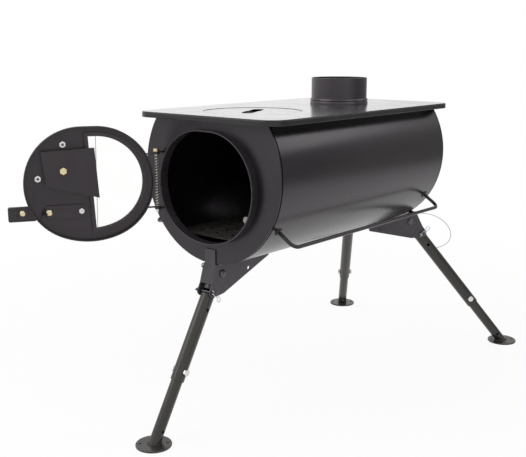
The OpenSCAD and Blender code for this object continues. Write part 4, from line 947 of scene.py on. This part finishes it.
class STOVE_OT_welds(bpy.types.Operator):
    """Runs the weld beads of the rim, brackets, rails, hinge tabs and feet"""

    bl_idname = "stove.welds"
    bl_label = "Welds"

    def execute(self, context):
        w = context.scene.stove_welds
        self.r, self.ripple, self.pitch = w.bead_r / MM, w.ripple, w.pitch / MM
        self.rim()
        self.brackets()
        self.rails()
        self.hinge_tabs()
        self.feet()
        return {"FINISHED"}

    def run(self, path, side, size=1.0, loop=False):
        return bead(path, self.r * size, side, loop, self.pitch, self.ripple)

    def rim(self):
        """One bead along the inside of the rim's outline, behind the end plate."""
        outline = resampled(rim_outline(0.4), 0.8, closed=True)
        path = np.stack([outline[:, 0], np.full(len(outline), DOOR_END_Y + 2.6), outline[:, 1]], -1)
        add_piece("weld_rim", self.run(path, (0, 1, 0), 0.8, True), "stove", "painted_weld", sharp=0)

    def brackets(self):
        """Where the outer face of each cheek meets the drum: for each distance x in the bracket's
        frame, the height that puts the point on the drum's circle is the lower root of a
        quadratic."""
        for leg, (x0, x1) in (("front", (-112, 9)), ("right", (-83, 0)), ("left", (-83, 0))):
            place = bracket_place(leg)
            across, up = place.axes[:, 1], place.axes[:, 2]
            beads = []
            for side in (-1, 1):
                x = np.linspace(x0, x1, 220)
                base = place.at(np.stack([x, np.full(len(x), side * (CHEEK + 0.5)), 0 * x], -1))
                bx, bz = base[:, 0], base[:, 2] - AXIS_Z
                a = up[0] ** 2 + up[2] ** 2
                b = 2 * (bx * up[0] + bz * up[2])
                c = bx**2 + bz**2 - (DRUM_R + 0.3) ** 2
                root = b**2 - 4 * a * c
                rise = (-b - np.sqrt(np.maximum(root, 0))) / (2 * a)
                points = base + rise[:, None] * up
                ok = (root > 0) & (points[:, 1] < FLUE_END_Y - 1) & (points[:, 1] > DOOR_END_Y + 1)
                points = points[ok]
                for low, high in ((0.02, 0.36), (0.52, 0.98)):
                    part = points[int(low * len(points)) : int(high * len(points))]
                    if len(part) > 8:
                        beads.append(self.run(resampled(part, 0.5), across, 0.9))
            add_piece(f"weld_bracket_{leg}", joined(*beads), "stove", "weld_finish", sharp=0)

    def rails(self):
        """A ring round each weld collar: a circle of radius 6.3 bent onto the drum."""
        a = angles(90)
        across, along = 6.3 * np.sin(a), 6.3 * np.cos(a)
        out = np.sqrt(DRUM_R**2 - across**2) + 0.3
        for side, name in ((1, "right"), (-1, "left")):
            beads = []
            for y in COLLAR_YS:
                ring = np.stack([out, y + along, across], -1) @ turn("y", COLLAR_LEAN).T
                ring = (ring * [side, 1, 1] + [0, 0, AXIS_Z])[::side]
                outwards = ring.mean(0) - [0, ring[:, 1].mean(), AXIS_Z]
                beads.append(self.run(ring, outwards, 0.55, True))
            add_piece(f"weld_rail_{name}", joined(*beads), "stove", "painted_weld", sharp=0)

    def hinge_tabs(self):
        """Short beads above and below each tab, where it meets the end plate."""
        beads = []
        x = np.linspace(-4.6, 4.6, 30)
        for z in (-47.5, -44.5, 44.5, 47.5):
            path = np.stack(np.broadcast_arrays(x, DOOR_END_Y - HINGE_Y - 0.3, z), -1)
            beads.append(self.run(HINGE.at(path), (0, 1, 0), 0.55))
        add_piece("weld_hinge_tabs", joined(*beads), "stove", "painted_weld", sharp=0)

    def feet(self):
        """An oval round the end of each inner tube, in the plane of the foot disc's face: the tube's
        circle stretched by 1 / cos(slant) along the leg's lean."""
        for leg in LEGS:
            tube = leg_place(leg)
            down = -tube.axes[:, 2]
            foot = tube.origin + down * ((tube.origin[2] - FOOT_TOP) / -down[2])
            a = angles(100)
            lean = unit(np.array([down[0], down[1], 0]))
            across = np.array([-lean[1], lean[0], 0])
            oval = np.cos(a)[:, None] * lean / -down[2] + np.sin(a)[:, None] * across
            shape = self.run(foot + (INNER_R + 0.35) * oval, (0, 0, 1), 0.75, True)
            add_piece(f"weld_foot_{leg}", shape, f"foot_{leg}", "painted_weld", sharp=0)


class STOVE_OT_finishes(bpy.types.Operator):
    """Makes the finishes and gives every part of the model its own"""

    bl_idname = "stove.finishes"
    bl_label = "Finishes"

    def execute(self, context):
        make_finishes(context.scene.stove_finishes)
        for finish, nodes in CAD_FINISHES.items():
            for node in nodes:
                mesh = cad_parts[node].data
                mesh.materials.clear()
                mesh.materials.append(bpy.data.materials[finish])
        return {"FINISHED"}


class Studio(Tree):
    """The nodes of the floor and of the surroundings."""

    def __init__(self, owner):
        super().__init__(owner)
        self.rays = self.add("ShaderNodeLightPath").outputs

    def ramp(self, value, *ends):
        """value carried smoothly from one range to another, and held at its ends."""
        return self.between(value, *ends, interpolation_type="SMOOTHSTEP")

    def maths(self, operation, a, b):
        return self.add("ShaderNodeMath", {0: a, 1: b}, operation=operation).outputs[0]

    def vector(self, operation, value, other=(0, 0, 0)):
        node = self.add("ShaderNodeVectorMath", {0: value, 1: other}, operation=operation)
        return node.outputs["Vector" if operation == "NORMALIZE" else "Value"]

    def dim_side(self, direction):
        """Up to 0.64 where a direction nears (0.57, 0.82, 0), the side with no studio light."""
        return self.ramp(self.vector("DOT_PRODUCT", direction, (0.57, 0.82, 0)), 0.25, 0.9, 0, 0.64)

    def glossy_white(self, kind, dim):
        """A white light of strength 1, less dim where a glossy ray sees it."""
        less = self.maths("MULTIPLY", dim, self.rays["Is Glossy Ray"])
        strength = self.maths("SUBTRACT", 1.0, less)
        return self.add(kind, {"Color": (1, 1, 1, 1), "Strength": strength}).outputs[0]

    def mixed(self, factor, first, second, output):
        """The output of a blend of two shaders."""
        mix = self.add("ShaderNodeMixShader", {"Fac": factor, 1: first, 2: second})
        self.add(output, {"Surface": mix.outputs[0]})


class STOVE_OT_stage(bpy.types.Operator):
    """Lays the pale floor and sets the soft studio light"""

    bl_idname = "stove.stage"
    bl_label = "Floor and light"

    def execute(self, context):
        stage = context.scene.stove_stage
        self.floor(stage.near)
        self.lamp("key", stage.key, (-1.1, -1.35, 1.95), 1.9, (0.0, 0.35, 0.25))
        self.lamp("fill", stage.fill, (2.2, 0.2, 1.7), 1.5, (0.0, 0.35, 0.3))
        self.lamp("rim", stage.rim, (0.89, 1.38, 1.14), 0.6, (0.13, 0.17, 0.46))
        self.surroundings(context.scene, stage.sky)
        context.scene.view_settings.view_transform = "Standard"
        return {"FINISHED"}

    @staticmethod
    def floor(near):
        """A round floor 12 m across whose rings grow with the square of their count. It shows as
        near of plain white by the stove, with the stove's shadow in the rest, and as plain white
        from 1.5 m on."""
        rings, sides = 24, 96
        middle = np.array([0, 400, -0.05])
        radius = 6000 * np.linspace(0.002, 1, rings)[:, None] ** 2
        verts, faces = skin(around(radius, angles(sides), 0) + middle, ends=False)
        verts = np.vstack([verts, middle])
        faces += [[sides * rings, j, (j + 1) % sides] for j in range(sides)]
        mesh = bpy.data.meshes.new("floor")
        mesh.from_pydata((verts * MM).tolist(), [], faces)
        floor = bpy.data.objects.new("floor", mesh)
        bpy.context.scene.collection.objects.link(floor)
        material = bpy.data.materials.new("pale_floor")
        n = Studio(material)
        coords = n.add("ShaderNodeTexCoord").outputs["Object"]
        spot = n.add("ShaderNodeMapping", {"Vector": coords, "Location": (0, -0.4, 0)}).outputs[0]
        length = n.vector("LENGTH", spot)
        seen = n.maths("MAXIMUM", n.rays["Is Camera Ray"], n.rays["Is Transmission Ray"])
        shown = n.maths("MULTIPLY", seen, n.ramp(length, 0.65, 1.5, near, 1))
        shown = n.maths("MAXIMUM", shown, n.rays["Is Glossy Ray"])
        side = n.dim_side(n.vector("NORMALIZE", spot))
        dim = n.maths("MULTIPLY", n.ramp(length, 0.9, 2.6, 0, 1), side)
        glow = n.glossy_white("ShaderNodeEmission", dim)
        diffuse = n.add("ShaderNodeBsdfDiffuse", {"Color": (0.9, 0.9, 0.9, 1)}).outputs[0]
        n.mixed(shown, diffuse, glow, "ShaderNodeOutputMaterial")
        mesh.materials.append(material)

    @staticmethod
    def lamp(name, power, place, size, aim):
        light = bpy.data.lights.new(name, "AREA")
        light.energy, light.size = power, size
        lamp = bpy.data.objects.new(name, light)
        lamp.location = place
        back = Vector([p - q for p, q in zip(place, aim)])
        lamp.rotation_mode = "QUATERNION"
        lamp.rotation_quaternion = back.to_track_quat("Z", "Y")
        lamp.visible_camera = False
        bpy.context.scene.collection.objects.link(lamp)

    @staticmethod
    def surroundings(scene, strength):
        """A world that lights at its own strength and shows as plain white, whose gloss sees a
        dim side of the studio that fades with height."""
        world = bpy.data.worlds.new("surroundings")
        n = Studio(world)
        direction = n.add("ShaderNodeTexCoord").outputs["Generated"]
        height = n.add("ShaderNodeSeparateXYZ", {0: direction}).outputs["Z"]
        fade = n.ramp(height, 0.05, 1.1, 1, 0)
        white = n.glossy_white("ShaderNodeBackground", n.maths("MULTIPLY", n.dim_side(direction), fade))
        soft = n.add("ShaderNodeBackground", {"Color": (1, 1, 1, 1), "Strength": strength}).outputs[0]
        seen = n.maths("MAXIMUM", n.rays["Is Camera Ray"], n.rays["Is Glossy Ray"])
        seen = n.maths("MAXIMUM", seen, n.rays["Is Transmission Ray"])
        n.mixed(seen, soft, white, "ShaderNodeOutputWorld")
        scene.world = world


class STOVE_PT_panel(bpy.types.Panel):
    """Lists the stove's pieces and their sizes"""

    bl_idname = "STOVE_PT_panel"
    bl_label = "Tent wood stove"
    bl_space_type = "VIEW_3D"
    bl_region_type = "UI"
    bl_category = "Stove"

    def draw(self, context):
        layout = self.layout
        for operator in OPERATORS:
            layout.operator(operator.bl_idname)
        for name in SETTINGS:
            group = getattr(context.scene, name)
            box = layout.box()
            for key in group.__annotations__:
                box.prop(group, key)


SETTINGS = {
    "stove_finishes": StoveFinishes,
    "stove_wire": StoveWire,
    "stove_hot_plate": StoveHotPlate,
    "stove_welds": StoveWelds,
    "stove_stage": StoveStage,
}
OPERATORS = [
    STOVE_OT_camera,
    STOVE_OT_finishes,
    STOVE_OT_lanyards,
    STOVE_OT_spring,
    STOVE_OT_fasteners,
    STOVE_OT_hot_plate,
    STOVE_OT_window_seal,
    STOVE_OT_welds,
    STOVE_OT_stage,
]


def register():
    for cls in (*SETTINGS.values(), *OPERATORS, STOVE_PT_panel):
        bpy.utils.register_class(cls)
    for name, cls in SETTINGS.items():
        setattr(bpy.types.Scene, name, bpy.props.PointerProperty(type=cls))


def unregister():
    for name in SETTINGS:
        delattr(bpy.types.Scene, name)
    for cls in reversed((*SETTINGS.values(), *OPERATORS, STOVE_PT_panel)):
        bpy.utils.unregister_class(cls)


def main():
    register()
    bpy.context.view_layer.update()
    bpy.ops.stove.camera()
    bpy.ops.stove.finishes()
    bpy.ops.stove.lanyards()
    bpy.ops.stove.spring()
    bpy.ops.stove.fasteners()
    bpy.ops.stove.hot_plate()
    bpy.ops.stove.window_seal()
    bpy.ops.stove.welds()
    bpy.ops.stove.stage()


if __name__ == "__main__":
    main()
